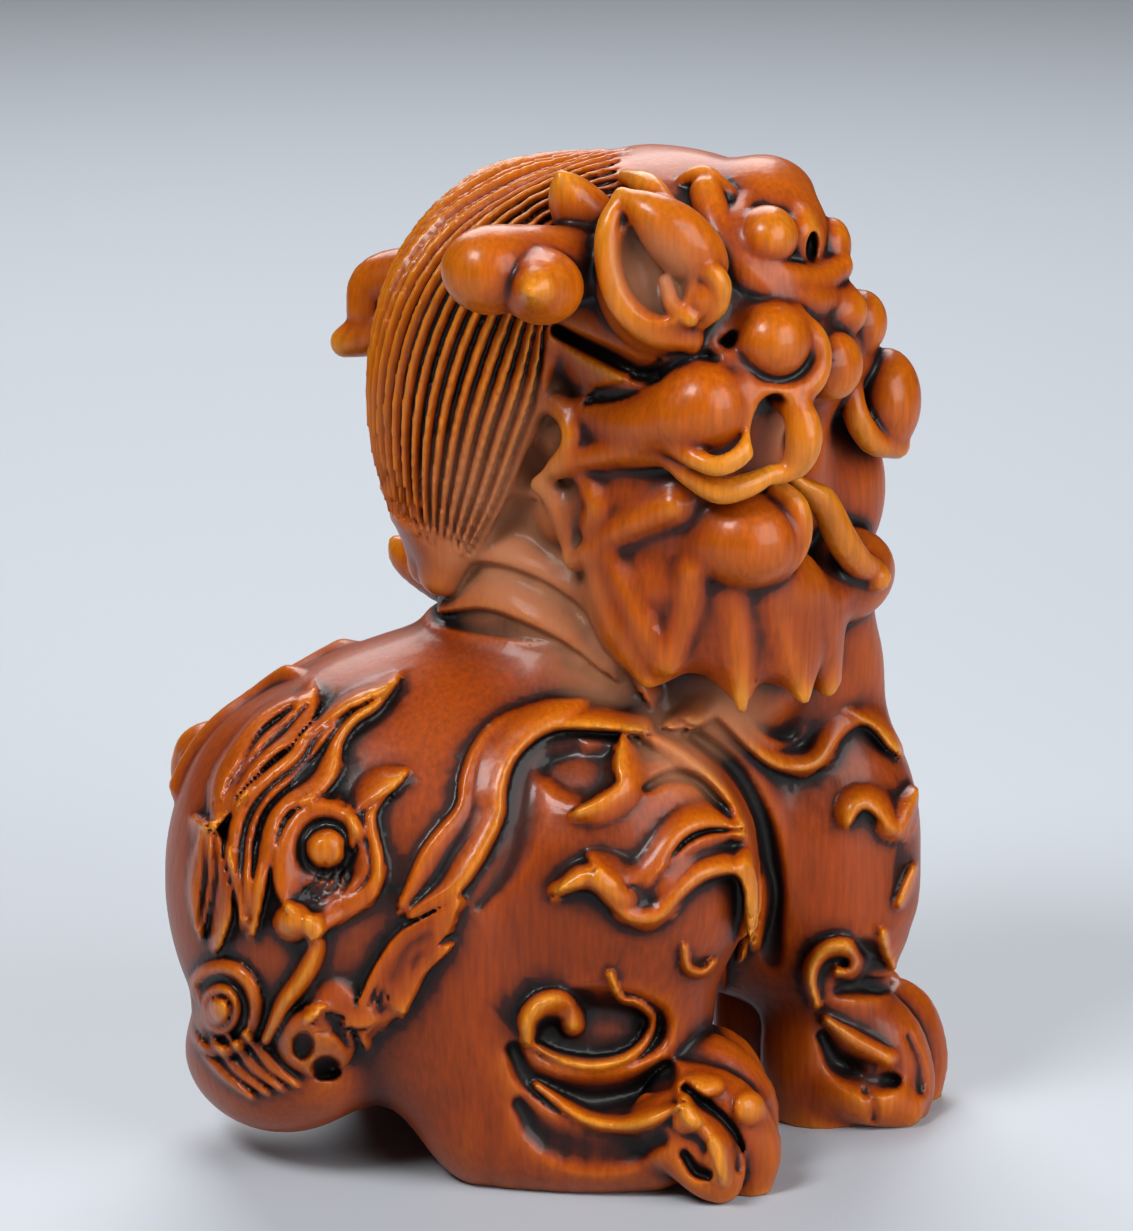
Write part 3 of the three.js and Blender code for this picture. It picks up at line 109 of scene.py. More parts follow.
# ridges of the mane on each side of its crest, how far round they spread in degrees, and the grooves' half width
RIDGES = 13
RIDGE_SPREAD = 99
GROOVE_SHARE = 0.8
JAW = (-30, -2)


def lift_of(down, depth):
    """How far a place lies above the middle of the sighting."""
    slope = (SIGHT_CENTRE[1] - down) / SIGHT_SCALE
    return (slope * (SIGHT_DISTANCE + depth * COSINE) - depth * SINE) / (COSINE + slope * SINE)


SIGHT_HEIGHT = -lift_of(SOLE_EDGE_DOWN, SOLE_EDGE_DEPTH)


def at(across, down, depth, *rest):
    """The point seen across and down at a depth; anything after the depth is kept."""
    lift = lift_of(down, depth)
    reach = SIGHT_DISTANCE + depth * COSINE - lift * SINE
    return [(across - SIGHT_CENTRE[0]) / SIGHT_SCALE * reach, depth, SIGHT_HEIGHT + lift, *rest]


def seen(x, y, z):
    """The marks across and down at which points are seen."""
    lift = z - SIGHT_HEIGHT
    reach = SIGHT_DISTANCE + y * COSINE - lift * SINE
    across = SIGHT_CENTRE[0] + SIGHT_SCALE * x / reach
    down = SIGHT_CENTRE[1] - SIGHT_SCALE * (y * SINE + lift * COSINE) / reach
    return across, down


def soft_min(a, b, seam):
    """The smaller of two distances with a rounded seam."""
    if seam <= 0:
        return np.minimum(a, b)
    near = np.maximum(seam - np.abs(a - b), 0) / seam
    return np.minimum(a, b) - near * near * (seam * 0.25)


class Clay:
    """A block of distances to the skin, below zero inside the clay."""

    def __init__(self, low, high, grain):
        self.grain = grain
        self.axes = [np.arange(a, b + grain, grain, dtype=np.float32) for a, b in zip(low, high)]
        self.field = np.full([len(axis) for axis in self.axes], EMPTY, np.float32)

    def window(self, low, high, margin):
        """The cells in a box widened by a margin, and where they lie."""
        cuts = []
        for axis, a, b in zip(self.axes, low, high):
            cuts.append(slice(*np.searchsorted(axis, [a - margin, b + margin])))
        x, y, z = (axis[cut] for axis, cut in zip(self.axes, cuts))
        return self.field[tuple(cuts)], x[:, None, None], y[None, :, None], z[None, None, :]

    def add(self, shape, seam):
        low, high, distance = shape
        here, x, y, z = self.window(low, high, seam + SKIN_BAND)
        if here.size:
            here[...] = soft_min(here, distance(x, y, z), seam)

    def cut(self, shape, seam):
        low, high, distance = shape
        here, x, y, z = self.window(low, high, seam + SKIN_BAND)
        if here.size:
            here[...] = -soft_min(-here, distance(x, y, z), seam)

    def facing(self, here, cells, toward):
        """How far the skin at some cells faces a direction: 0 where it is seen edge on, 1 where it is seen well."""
        slope = []
        for axis in range(3):
            ahead, behind = list(cells), list(cells)
            ahead[axis] = np.minimum(cells[axis] + 1, here.shape[axis] - 1)
            behind[axis] = np.maximum(cells[axis] - 1, 0)
            slope.append(here[tuple(ahead)] - here[tuple(behind)])
        steep = np.maximum(np.linalg.norm(slope, axis=0), TINY)
        return np.clip((np.array(toward) @ slope / steep - FACING_LEAST) / FACING_RANGE, 0, 1)

    def emboss(self, mark, height, toward=SIGHT):
        """Raises the skin under a mark where it faces the sight, or sinks it when the height is below zero."""
        low, high, weight = mark
        here, x, y, z = self.window(low, high, 0)
        i, j, k = np.nonzero(np.abs(here) < abs(height) + SKIN_BAND)
        if len(i):
            push = height * weight(x.ravel()[i], y.ravel()[j], z.ravel()[k])
            if toward is not None:
                push = push * self.facing(here, (i, j, k), toward)
            here[i, j, k] -= push

    def sample(self, values, points):
        """Values of a block of the same cells at points, mixed from the eight cells around each."""
        start = np.array([axis[0] for axis in self.axes])
        place = (points - start) / self.grain
        cell = np.clip(np.floor(place).astype(int), 0, np.array(values.shape) - 2)
        share = place - cell
        total = np.zeros(len(points), np.float32)
        for corner in range(8):
            step = np.array([corner & 1, corner >> 1 & 1, corner >> 2 & 1])
            weight = np.prod(np.where(step, share, 1 - share), axis=1)
            total += weight * values[tuple((cell + step).T)]
        return total


def add_both(clay, plane, shape, seam):
    clay.add(shape, seam)
    clay.add(mirrored(plane, shape), seam)


def emboss_both(clay, mark, height):
    clay.emboss(mark, height)
    clay.emboss(mirrored(BODY, mark), height, FAR_SIGHT)


def ball(centre, radii, turn=(0, 0, 0)):
    """A ball with its own radii, turned about z, then y, then x, in degrees."""
    yaw, pitch, roll = (math.radians(angle) for angle in turn)
    spin = Matrix.Rotation(yaw, 3, "Z") @ Matrix.Rotation(pitch, 3, "Y") @ Matrix.Rotation(roll, 3, "X")
    spin = np.array(spin)
    reach = np.sqrt(((spin * np.array(radii)) ** 2).sum(1))
    low = [v - r for v, r in zip(centre, reach)]
    high = [v + r for v, r in zip(centre, reach)]

    def distance(x, y, z):
        dx, dy, dz = x - centre[0], y - centre[1], z - centre[2]
        near = steep = 0
        for row, radius in zip(spin.T.astype(np.float32), radii):
            share = (row[0] * dx + row[1] * dy + row[2] * dz) / radius
            near = near + share * share
            steep = steep + (share / radius) ** 2
        near = np.sqrt(near)
        return near * (near - 1) / (np.sqrt(steep) + 1e-6)

    return low, high, distance


def curve(points, steps, closed=False):
    """A smooth path through the points, which may carry a width as their last value."""
    p = np.array(points, float)
    if closed:
        p = np.vstack([p[-1:], p, p[:2]])
    else:
        p = np.vstack([2 * p[:1] - p[1:2], p, 2 * p[-1:] - p[-2:-1]])
    path = []
    for a, b, c, d in zip(p, p[1:], p[2:], p[3:]):
        for step in range(steps):
            t = step / steps
            path.append(
                0.5 * (2 * b + (c - a) * t + (2 * a - 5 * b + 4 * c - d) * t * t
                       + (3 * b - a - 3 * c + d) * t**3)
            )
    path.append(p[-2])
    return np.array(path)


def limb(points, steps=4):
    """A tapering round limb along a smooth path; each point carries its radius."""
    path = curve(points, steps) if steps else np.array(points, float)
    path[:, 3] = np.maximum(path[:, 3], 0.05)
    low = (path[:, :3] - path[:, 3:]).min(0)
    high = (path[:, :3] + path[:, 3:]).max(0)

    def distance(x, y, z):
        best = None
        for a, b in zip(path[:-1], path[1:]):
            v = b[:3] - a[:3]
            dx, dy, dz = x - a[0], y - a[1], z - a[2]
            t = np.clip((dx * v[0] + dy * v[1] + dz * v[2]) / (float(v @ v) + 1e-9), 0, 1)
            off = np.sqrt((dx - t * v[0]) ** 2 + (dy - t * v[1]) ** 2 + (dz - t * v[2]) ** 2)
            off -= a[3] + t * (b[3] - a[3])
            best = off if best is None else np.minimum(best, off)
        return best

    return list(low), list(high), distance


def mark_box(across, down, spread, depth):
    """The box around everything seen within a spread of marks, between two depths."""
    corners = []
    for u in (np.min(across) - spread, np.max(across) + spread):
        for v in (np.min(down) - spread, np.max(down) + spread):
            corners += [at(u, v, depth[0]), at(u, v, depth[1])]
    return list(np.min(corners, 0)), list(np.max(corners, 0))


def fade(y, depth):
    """Full between two depths, with soft ends two units long."""
    return np.clip((depth[1] - y) / 2, 0, 1) * np.clip((y - depth[0]) / 2, 0, 1)


def nearest(u, v, path, width_of):
    """How far marks lie from a path, squared and measured in widths of the path."""
    best = np.full(u.shape, 1e9, np.float32)
    for a, b in zip(path[:-1], path[1:]):
        across, down = b[0] - a[0], b[1] - a[1]
        du, dv = u - a[0], v - a[1]
        t = np.clip((du * across + dv * down) / (across**2 + down**2 + 1e-9), 0, 1)
        wide = width_of(a[2] + t * (b[2] - a[2]), across * dv - down * du > 0)
        np.minimum(best, ((du - t * across) ** 2 + (dv - t * down) ** 2) / wide**2, out=best)
    return np.clip(best, 0, 1)


def stroke(points, depth, closed=False, flat=0):
    """A line drawn as seen: marks across, marks down and half its width; a share of the width is level."""
    path = curve(points, 4, closed)
    low, high = mark_box(path[:, 0], path[:, 1], path[:, 2].max(), depth)

    def weight(x, y, z):
        off = np.sqrt(nearest(*seen(x, y, z), path, lambda half, right: np.maximum(half, 0.5)))
        off = np.clip((off - flat) / (1 - flat), 0, 1)
        return (1 - off * off) ** 1.5 * fade(y, depth)

    return low, high, weight


def ledge(points, depth, steep, slope):
    """A line that drops steeply on its right and slopes away on its left, so many marks wide.

    Each point has the marks across and down, and a share of both widths.
    """
    path = curve(points, 4)
    low, high = mark_box(path[:, 0], path[:, 1], max(steep, slope), depth)

    def wide(share, right):
        return np.where(right, steep, slope) * np.maximum(share, 0.05)

    def weight(x, y, z):
        return (1 - nearest(*seen(x, y, z), path, wide)) ** 1.5 * fade(y, depth)

    return low, high, weight


def ring(across, down, wide, tall, half, depth):
    """A closed round line around a place."""
    points = []
    for k in range(9):
        points.append((across + wide * math.cos(k * 0.7), down + tall * math.sin(k * 0.7), half))
    return stroke(points, depth, closed=True)


def patch(outline, depth, edge):
    """An area within a smooth closed outline, which rises from its rim over the edge width in marks."""
    path = curve(outline, 3, closed=True)
    low, high = mark_box(path[:, 0], path[:, 1], 0, depth)

    def weight(x, y, z):
        u, v = seen(x, y, z)
        best = np.full(u.shape, 1e9, np.float32)
        inside = np.zeros(u.shape, bool)
        for a, b in zip(path[:-1], path[1:]):
            across, down = b[0] - a[0], b[1] - a[1]
            du, dv = u - a[0], v - a[1]
            t = np.clip((du * across + dv * down) / (across**2 + down**2 + 1e-9), 0, 1)
            np.minimum(best, (du - t * across) ** 2 + (dv - t * down) ** 2, out=best)
            if abs(down) > 1e-9:
                inside ^= ((a[1] > v) != (b[1] > v)) & (u < a[0] + (v - a[1]) / down * across)
        rise = np.clip(np.sqrt(best) / edge, 0, 1)
        return np.where(inside, rise * rise * (3 - 2 * rise), 0) * fade(y, depth)

    return low, high, weight


def bump(across, down, depth, wide, tall):
    """A round swelling seen at a place, with its half width and half height in marks."""
    low, high = mark_box([across - wide, across + wide], [down - tall, down + tall], 0, depth)

    def weight(x, y, z):
        u, v = seen(x, y, z)
        off = ((u - across) / wide) ** 2 + ((v - down) / tall) ** 2
        return np.sqrt(1 - np.clip(off, 0, 1)) * fade(y, depth)

    return low, high, weight


def opposite(plane, point):
    """A point on the other side of an upright plane."""
    angle = math.radians(plane[2])
    across, along = -math.sin(angle), math.cos(angle)
    off = (point[0] - plane[0]) * across + (point[1] - plane[1]) * along
    return [point[0] - 2 * off * across, point[1] - 2 * off * along, *point[2:]]


def mirrored(plane, item):
    """The same shape or mark on the other side of an upright plane."""
    low, high, measure = item
    corners = [opposite(plane, (x, y, 0)) for x in (low[0], high[0]) for y in (low[1], high[1])]
    least, most = np.min(corners, 0), np.max(corners, 0)

    def there(x, y, z):
        across, along, up = opposite(plane, (x, y, z))
        return measure(across, along, up)

    return [least[0], least[1], low[2]], [most[0], most[1], high[2]], there


def shape_body(clay):
    """The body, the chest and the neck inside the mane."""
    clay.add(ball(at(446, 868, -3), [27.5, 21.5, 24.2], [20, 6, 0]), 0)
    clay.add(ball(at(560, 800, 1), [22, 19, 20], [20, 0, 0]), 6)
    clay.add(ball(at(772, 830, 8), [14.2, 13, 18], [20, 0, 0]), 6)
    clay.add(limb([
        at(610, 740, 3, 17), at(590, 630, 2, 14), at(600, 520, 3, 12), at(615, 380, 3, 11.5),
    ]), 5)
    clay.add(limb([
        at(530, 330, 2, 9), at(515, 430, 2, 8.5), at(520, 520, 2, 8), at(535, 600, 1, 9),
    ]), 4)


def shape_hind_legs(clay):
    """Haunches, shanks and feet of the folded hind legs."""
    add_both(clay, BODY, ball(at(612, 868, -13), [14.6, 11.5, 15.2], [10, 0, 0]), 2.5)
    add_both(clay, BODY, ball(at(540, 1010, -13), [17.5, 11, 16], [10, 0, 0]), 4)
    add_both(clay, BODY, limb([
        at(500, 1115, -15, 7.5), at(580, 1138, -18, 5.6), at(650, 1140, -19, 5.0),
    ]), 3)
    # toes from the nearest to the farthest
    add_both(clay, BODY, limb([
        at(660, 1125, -21, 4.2), at(690, 1138, -23, 4.2), at(712, 1165, -24, 3.4),
        at(722, 1182, -24, 2.2),
    ]), 0.8)
    add_both(clay, BODY, limb([
        at(670, 1095, -18, 4.0), at(722, 1110, -20, 3.6), at(748, 1145, -20, 3.3),
        at(750, 1178, -20, 2.4),
    ]), 0.6)
    add_both(clay, BODY, limb([
        at(660, 1075, -14, 4.4), at(705, 1070, -15, 3.8), at(742, 1100, -15, 3.4),
        at(752, 1140, -14, 2.6),
    ]), 0.6)
    add_both(clay, BODY, limb([
        at(660, 1065, -9, 4.4), at(715, 1060, -10, 3.4), at(738, 1085, -9, 3.0),
        at(745, 1110, -9, 2.4),
    ]), 0.6)


def shape_front_legs(clay):
    """The upright front legs and their feet."""
    add_both(clay, BODY, ball(at(830, 845, 3), [8.8, 9, 15.0], [20, 0, 0]), 4)
    add_both(clay, BODY, limb([
        at(830, 900, 3, 8.0), at(824, 985, 4, 6.2), at(815, 1060, 4, 5.6), at(820, 1108, 4, 5.2),
    ]), 3)
    add_both(clay, BODY, limb([
        at(845, 1020, 4, 5.4), at(880, 1045, 4, 4.6), at(894, 1078, 4, 4.2),
        at(900, 1100, 4, 3.2),
    ]), 1.6)
    add_both(clay, BODY, limb([
        at(870, 1015, 9, 4.4), at(898, 1020, 10, 4.0), at(914, 1055, 10, 3.5),
        at(916, 1090, 10, 2.7),
    ]), 0.8)
    add_both(clay, BODY, limb([
        at(840, 1085, 1, 3.6), at(868, 1092, 0, 3.4), at(900, 1104, 1, 2.6),
    ]), 1.0)


def fill_between_feet(clay):
    """The wood left standing between the feet."""
    clay.add(ball(at(835, 1050, 11), [6, 5, 7]), 2)
    clay.add(ball(at(575, 1030, 2), [13, 14, 8], [20, 0, 0]), 3)


def shape_tail(clay):
    """The rump with its curling locks and the tail."""
    clay.add(ball(at(276, 895, -10), [9.4, 17, 17.6], [20, 0, 0]), 4)
    clay.add(ball(at(290, 1035, -8), [9, 14, 8.5], [20, 0, 0]), 3)
    clay.add(ball(at(258, 1062, -6), [6.5, 12, 5.5], [20, 0, 0]), 3)
    clay.add(limb([at(224, 738, 2, 1.0), at(208, 762, 3, 3.0), at(206, 790, 3, 2.0)]), 1.5)
    # crisp edges of the leaves of hair: each drops on its right and slopes away on its left
    edges = [
        [
            (255, 930), (263, 886), (267, 867), (272, 843), (279, 820), (291, 806), (312, 796),
            (329, 782), (336, 763), (340, 742), (354, 721), (376, 705), (396, 682),
        ],
        [
            (382, 686), (361, 693), (338, 705), (319, 721), (303, 738), (291, 754), (263, 777),
            (244, 796), (232, 824), (230, 855), (237, 883), (240, 920),
        ],
        [(218, 826), (242, 794), (251, 777), (272, 754), (296, 738), (312, 716), (315, 690)],
        [(300, 694), (282, 702), (256, 719), (232, 749), (218, 773), (213, 794), (211, 826)],
        [(220, 945), (231, 907), (230, 871), (220, 839), (200, 820)],
        [(203, 824), (195, 860), (192, 895), (197, 930)],
        [
            (315, 938), (330, 925), (354, 909), (371, 895), (379, 879), (379, 855), (373, 829),
            (373, 810), (385, 794), (403, 778),
        ],
        [(354, 842), (350, 817), (324, 803), (296, 815), (278, 848), (276, 880), (284, 905)],
        [(457, 901), (427, 921), (404, 935), (385, 958), (371, 982), (361, 1001)],
        [(352, 1026), (385, 1020), (399, 1001), (404, 977), (411, 954), (439, 937), (458, 900)],
        [(405, 1012), (414, 990), (424, 970), (448, 950)],
        [(312, 1020), (330, 1006), (352, 1018), (362, 1042)],
    ]
    for line in edges:
        shares = [0.4] + [1] * (len(line) - 2) + [0.4]
        clay.emboss(ledge([(*spot, share) for spot, share in zip(line, shares)], RUMP, 6, 30), 1.6)
    # curls: a knob in the middle and soft grooves around it
    clay.emboss(bump(326, 848, RUMP, 20, 20), 2.4)
    clay.emboss(ring(326, 848, 26, 27, 7, RUMP), -0.45)
    clay.emboss(stroke([
        (314, 922, 12), (316, 950, 14), (302, 980, 14), (284, 1004, 12), (266, 1040, 7),
    ], RUMP), 2.0)
    clay.emboss(bump(294, 922, RUMP, 21, 21), 3.0)
    clay.emboss(bump(222, 1008, RUMP, 42, 50), 1.8)
    clay.emboss(ring(220, 1010, 24, 30, 7, RUMP), -1.0)
    clay.emboss(bump(218, 1012, RUMP, 12, 14), 0.8)
    clay.emboss(bump(316, 1040, RUMP, 42, 36), 2.2)
    clay.emboss(bump(303, 1046, RUMP, 13, 16), -1.4)
    clay.emboss(bump(326, 1068, RUMP, 16, 13), -2.2)
    for k in range(4):
        clay.emboss(ledge([
            (196 + 16 * k, 1044 - 3 * k, 0.5), (220 + 17 * k, 1074 - 2 * k, 1),
            (250 + 15 * k, 1098 - 4 * k, 0.5),
        ], RUMP, 5, 14), 1.0)
    # plainer locks on the far side
    for line in [edges[0], edges[2], edges[6], edges[9]]:
        clay.emboss(mirrored(BODY, stroke([(*spot, 12) for spot in line], RUMP)), 1.2, FAR_SIGHT)


def draw_haunches(clay):
    """The waves over the haunches."""
    # band around the haunch: its inner crest, its outer edge and the edge towards the chest
    emboss_both(clay, ledge([
        (416, 916, 0.4), (453, 894, 0.8), (473, 869, 1), (490, 839, 1), (500, 814, 1),
        (502, 789, 1), (509, 764, 1), (523, 745, 1), (545, 730, 1), (572, 725, 1),
        (640, 731, 0.6),
    ], NEAR, 7, 30), 2.0)
    emboss_both(clay, ledge([
        (580, 700, 0.5), (540, 706, 1), (498, 723, 1), (476, 748, 1), (465, 778, 1),
        (460, 808, 1), (435, 839, 1), (421, 861, 1), (400, 905, 0.5),
    ], NEAR, 7, 26), 1.0)
    emboss_both(clay, stroke([
        (480, 905, 8), (510, 868, 16), (526, 825, 19), (530, 785, 18), (545, 758, 16),
        (575, 748, 12),
    ], NEAR), -0.35)
    emboss_both(clay, ledge([
        (742, 960, 0.4), (754, 912, 1), (752, 860, 1), (740, 815, 1), (715, 780, 1),
        (680, 750, 1), (636, 728, 0.6),
    ], NEAR, 7, 18), 1.3)
    # hollow and leaf of the upper wave
    emboss_both(clay, patch([
        (545, 748), (612, 742), (617, 765), (614, 790), (590, 808), (556, 800), (532, 775),
    ], NEAR, 18), -0.8)
    emboss_both(clay, ledge([
        (622, 736, 0.5), (618, 762, 1), (620, 784, 1), (600, 799, 1), (578, 810, 0.5),
    ], NEAR, 6, 28), 1.5)
    emboss_both(clay, ledge([
        (592, 862, 0.5), (604, 874, 1), (622, 882, 1), (641, 881, 1), (658, 868, 1),
        (682, 836, 1), (707, 825, 1), (738, 828, 0.5),
    ], NEAR, 6, 26), 1.5)
    emboss_both(clay, stroke([
        (646, 788, 6), (669, 777, 9), (696, 780, 9), (718, 801, 9), (738, 828, 6),
    ], NEAR), -0.9)
    # ribbon of the lower wave
    emboss_both(clay, ledge([
        (560, 892, 0.5), (589, 886, 1), (608, 901, 1), (627, 918, 1), (644, 922, 1),
        (663, 916, 1), (682, 894, 1), (704, 877, 1), (729, 871, 1), (743, 878, 1), (750, 900, 1),
        (750, 940, 0.5),
    ], NEAR, 6, 28), 2.2)
    emboss_both(clay, ledge([
        (742, 832, 0.5), (712, 836, 1), (691, 845, 1), (671, 862, 1), (649, 885, 1),
        (627, 891, 1), (605, 880, 1), (589, 869, 1), (572, 875, 1), (554, 896, 0.5),
    ], NEAR, 6, 18), 1.2)


def draw_legs(clay):
    """Curls, hollows and grooves of the legs and feet."""
    # hollow around the ankle, its rim and the hook
    emboss_both(clay, patch([
        (518, 1034), (556, 988), (620, 985), (668, 1005), (674, 1040), (645, 1068), (590, 1078),
        (536, 1066),
    ], NEAR, 26), -3.0)
    emboss_both(clay, stroke([
        (536, 1046, 6), (560, 1058, 8), (592, 1064, 9), (624, 1058, 8), (646, 1040, 8),
        (652, 1018, 7), (638, 1004, 6), (620, 998, 5), (610, 974, 5),
    ], NEAR), 1.8)
    emboss_both(clay, stroke([
        (528, 1040, 8), (530, 1018, 14), (546, 1006, 18), (566, 1010, 19), (572, 1024, 14),
    ], NEAR, flat=0.2), 3.4)
    add_both(clay, BODY, ball(at(744, 990, -10), [2.0, 2.2, 2.6], [0, -15, 0]), 0.8)
    emboss_both(clay, stroke([(684, 946, 5), (688, 968, 6), (704, 972, 6), (714, 962, 5)], NEAR), 0.9)
    # deep hollow over the foot, the crest of the foot and the hollow in its side
    emboss_both(clay, stroke([
        (514, 1050, 12), (532, 1078, 20), (575, 1096, 25), (624, 1094, 25), (664, 1074, 18),
    ], NEAR), -1.6)
    emboss_both(clay, ledge([
        (536, 1086, 0.5), (567, 1108, 1), (594, 1123, 1), (627, 1127, 1), (655, 1119, 1),
        (682, 1108, 0.5),
    ], NEAR, 8, 14), 1.6)
    emboss_both(clay, stroke([
        (520, 1104, 12), (542, 1134, 20), (580, 1150, 24), (620, 1152, 22), (660, 1140, 14),
    ], NEAR), -1.0)
    emboss_both(clay, stroke([
        (684, 1100, 9), (694, 1120, 12), (712, 1136, 12), (726, 1160, 10), (730, 1186, 6),
    ], NEAR), 1.6)
    emboss_both(clay, stroke([(686, 1156, 7), (698, 1172, 10), (712, 1178, 8)], NEAR), -1.8)
    emboss_both(clay, stroke([
        (686, 1086, 6), (704, 1104, 8), (722, 1118, 7), (738, 1140, 6), (742, 1172, 5),
    ], NEAR), -1.2)
    # knuckles and claws
    emboss_both(clay, bump(691, 1120, NEAR, 19, 17), 1.7)
    emboss_both(clay, bump(700, 1086, NEAR, 26, 13), 1.5)
    emboss_both(clay, bump(750, 1108, NEAR, 17, 18), 1.4)
    emboss_both(clay, bump(724, 1164, NEAR, 15, 26), 1.3)
    # curl on the front leg
    emboss_both(clay, patch([
        (826, 992), (850, 938), (885, 940), (900, 965), (892, 996), (850, 1004),
    ], FRONT, 18), -1.8)
    emboss_both(clay, stroke([
        (816, 1004, 6), (810, 982, 9), (813, 964, 11), (826, 950, 12), (844, 947, 12),
        (855, 958, 11), (850, 972, 9), (838, 972, 7),
    ], FRONT), 2.4)
    emboss_both(clay, stroke([(884, 932, 5), (884, 950, 8), (892, 966, 5)], FRONT), 1.4)
    # front foot
    emboss_both(clay, stroke([
        (822, 1036, 8), (838, 1062, 16), (866, 1082, 18), (892, 1082, 12),
    ], FRONT), -1.3)
    emboss_both(clay, stroke([(826, 1020, 6), (856, 1042, 14), (888, 1058, 12)], FRONT), 1.4)
    emboss_both(clay, stroke([(874, 1118, 7), (872, 1102, 8), (864, 1092, 6)], FRONT), -0.5)
    emboss_both(clay, stroke([(908, 1036, 5), (918, 1062, 8), (920, 1092, 7)], FRONT), -0.5)


def draw_chest(clay):
    """The waves over the chest."""
    emboss_both(clay, ledge([
        (672, 728, 0.4), (700, 722, 1), (714, 714, 1), (728, 724, 1), (748, 744, 1),
        (774, 764, 1), (802, 769, 1), (822, 760, 1), (838, 736, 1), (852, 724, 1), (870, 722, 1),
        (892, 748, 0.6),
    ], FRONT, 7, 30), 2.0)
    emboss_both(clay, stroke([
        (742, 716, 5), (756, 732, 6), (772, 742, 6), (790, 743, 6), (804, 732, 6), (810, 710, 6),
        (830, 701, 6), (854, 714, 6), (872, 726, 5),
    ], FRONT), 0.7)
    emboss_both(clay, ledge([
        (850, 822, 0.5), (856, 810, 1), (866, 806, 1), (878, 814, 1), (892, 830, 1),
        (904, 828, 1), (912, 812, 1), (918, 794, 0.6),
    ], FRONT, 6, 24), 1.6)
    emboss_both(clay, stroke([(914, 868, 6), (908, 886, 9), (900, 904, 7)], FRONT), 1.2)
    # valley between the haunch and the chest
    clay.emboss(stroke([
        (676, 722, 8), (728, 764, 14), (758, 815, 16), (772, 880, 16), (772, 960, 14),
    ], JAW), -1.1)


def draw_neck(clay):
    """The plates of the neck."""
    # laps of the plates on the neck
    laps = [
        [(500, 416, 0.8), (524, 412, 1), (552, 418, 0.8)],
        [(480, 492, 0.8), (512, 492, 1), (552, 500, 0.8)],
        [(450, 562, 0.8), (490, 560, 1), (540, 576, 1), (584, 606, 1), (618, 652, 1), (640, 690, 0.8)],
        [(436, 612, 0.8), (484, 606, 1), (530, 622, 1), (572, 644, 1), (604, 670, 0.8)],
    ]
    for line in laps:
        clay.emboss(ledge(line, JAW, 5, 34), 1.1)


def shape_mane(clay):
    """The big lock behind the head, made of strands side by side."""
    # the crest from the crown to the nape, and the near edge behind the horn and the cheek
    crest = [
        (620, 158), (550, 164), (494, 183), (442, 215), (403, 260), (379, 315), (369, 377), (375, 441), (394, 506),
        (432, 568),
    ]
    edge = [
        (605, 225, -8), (575, 250, -12), (556, 285, -14), (545, 320, -15), (538, 360, -15), (528, 400, -14),
        (512, 445, -12.5), (492, 500, -10.5), (470, 545, -8.5), (448, 582, -7),
    ]
    crest = curve([at(x, y, (x - 516) * 0.0364) for x, y in crest], 2)
    edge = curve([at(*point) for point in edge], 2)
    middle = (edge + [opposite(BODY, point) for point in edge]) / 2
    out, across = crest - middle, edge - middle

    def strand(angle, scale, share):
        up, over = math.cos(math.radians(angle)) * scale, math.sin(math.radians(angle)) * scale
        offset = out * up + across * over
        reach = np.sqrt((offset * offset).sum(1)) / scale
        return limb([[*point, r * share] for point, r in zip(middle + offset, reach)], 0)

    for angle in range(-90, 91, 20):
        clay.add(strand(angle, 0.71, 0.25), 1.6)
        clay.add(strand(angle, 0.36, 0.26), 1.6)
    # grooves by the angle around the middle of the shell, so that they keep one depth all along
    spread = math.radians(RIDGE_SPREAD)

    spokes = []
    for centre, up, over, ahead in zip(middle[:-1], out, across, (middle + out / 2)[1:] - (middle + out / 2)[:-1]):
        face = np.cross(up, over)
        face = face * np.sign(face @ ahead) / np.linalg.norm(face)
        spokes.append((centre, face, *np.linalg.pinv(np.array([up, over]).T)))

    def furrows(x, y, z):
        angle, scale, share = np.zeros_like(x), np.zeros_like(x), np.zeros_like(x)
        before = None
        for k, (centre, *axes) in enumerate(spokes):
            dx, dy, dz = x - centre[0], y - centre[1], z - centre[2]
            off, along, aside = [dx * axis[0] + dy * axis[1] + dz * axis[2] for axis in axes]
            here = (off, np.arctan2(aside, along), np.hypot(along, aside))
            if before:
                between = (before[0] >= 0) & (off < 0)
                t = np.where(between, before[0] / np.maximum(before[0] - off, 0.001), 0)
                angle = np.where(between, before[1] + (here[1] - before[1]) * t, angle)
                scale = np.where(between, before[2] + (here[2] - before[2]) * t, scale)
                share = np.where(between, (k - 1 + t) / (len(spokes) - 1), share)
            before = here
        turn = angle / spread * RIDGES + 0.5
        gap = np.clip(2 * np.abs(turn - np.round(turn)) / GROOVE_SHARE, 0, 1)
        ends = np.clip(np.minimum(share, 1 - share) * 12, 0, 1)
        shell = np.clip((scale - 0.78) * 12, 0, 1) * np.clip((1.3 - scale) * 12, 0, 1)
        return (1 - gap * gap) ** 1.5 * ends * shell * (np.abs(angle) < spread)

    low = np.minimum((crest - 2).min(0), np.minimum(edge, 2 * middle - edge).min(0) - 2)
    high = np.maximum((crest + 2).max(0), np.maximum(edge, 2 * middle - edge).max(0) + 2)
    clay.emboss((list(low), list(high), furrows), -1.15, None)
    clay.add(limb([
        at(500, 580, 6, 5.0), at(448, 570, 10, 3.4), at(412, 556, 12, 2.2),
        at(396, 543, 13, 0.8),
    ]), 1.0)
    clay.add(limb([at(450, 492, 8, 4.0), at(405, 490, 10, 2.0), at(388, 486, 11, 0.9)]), 0.8)


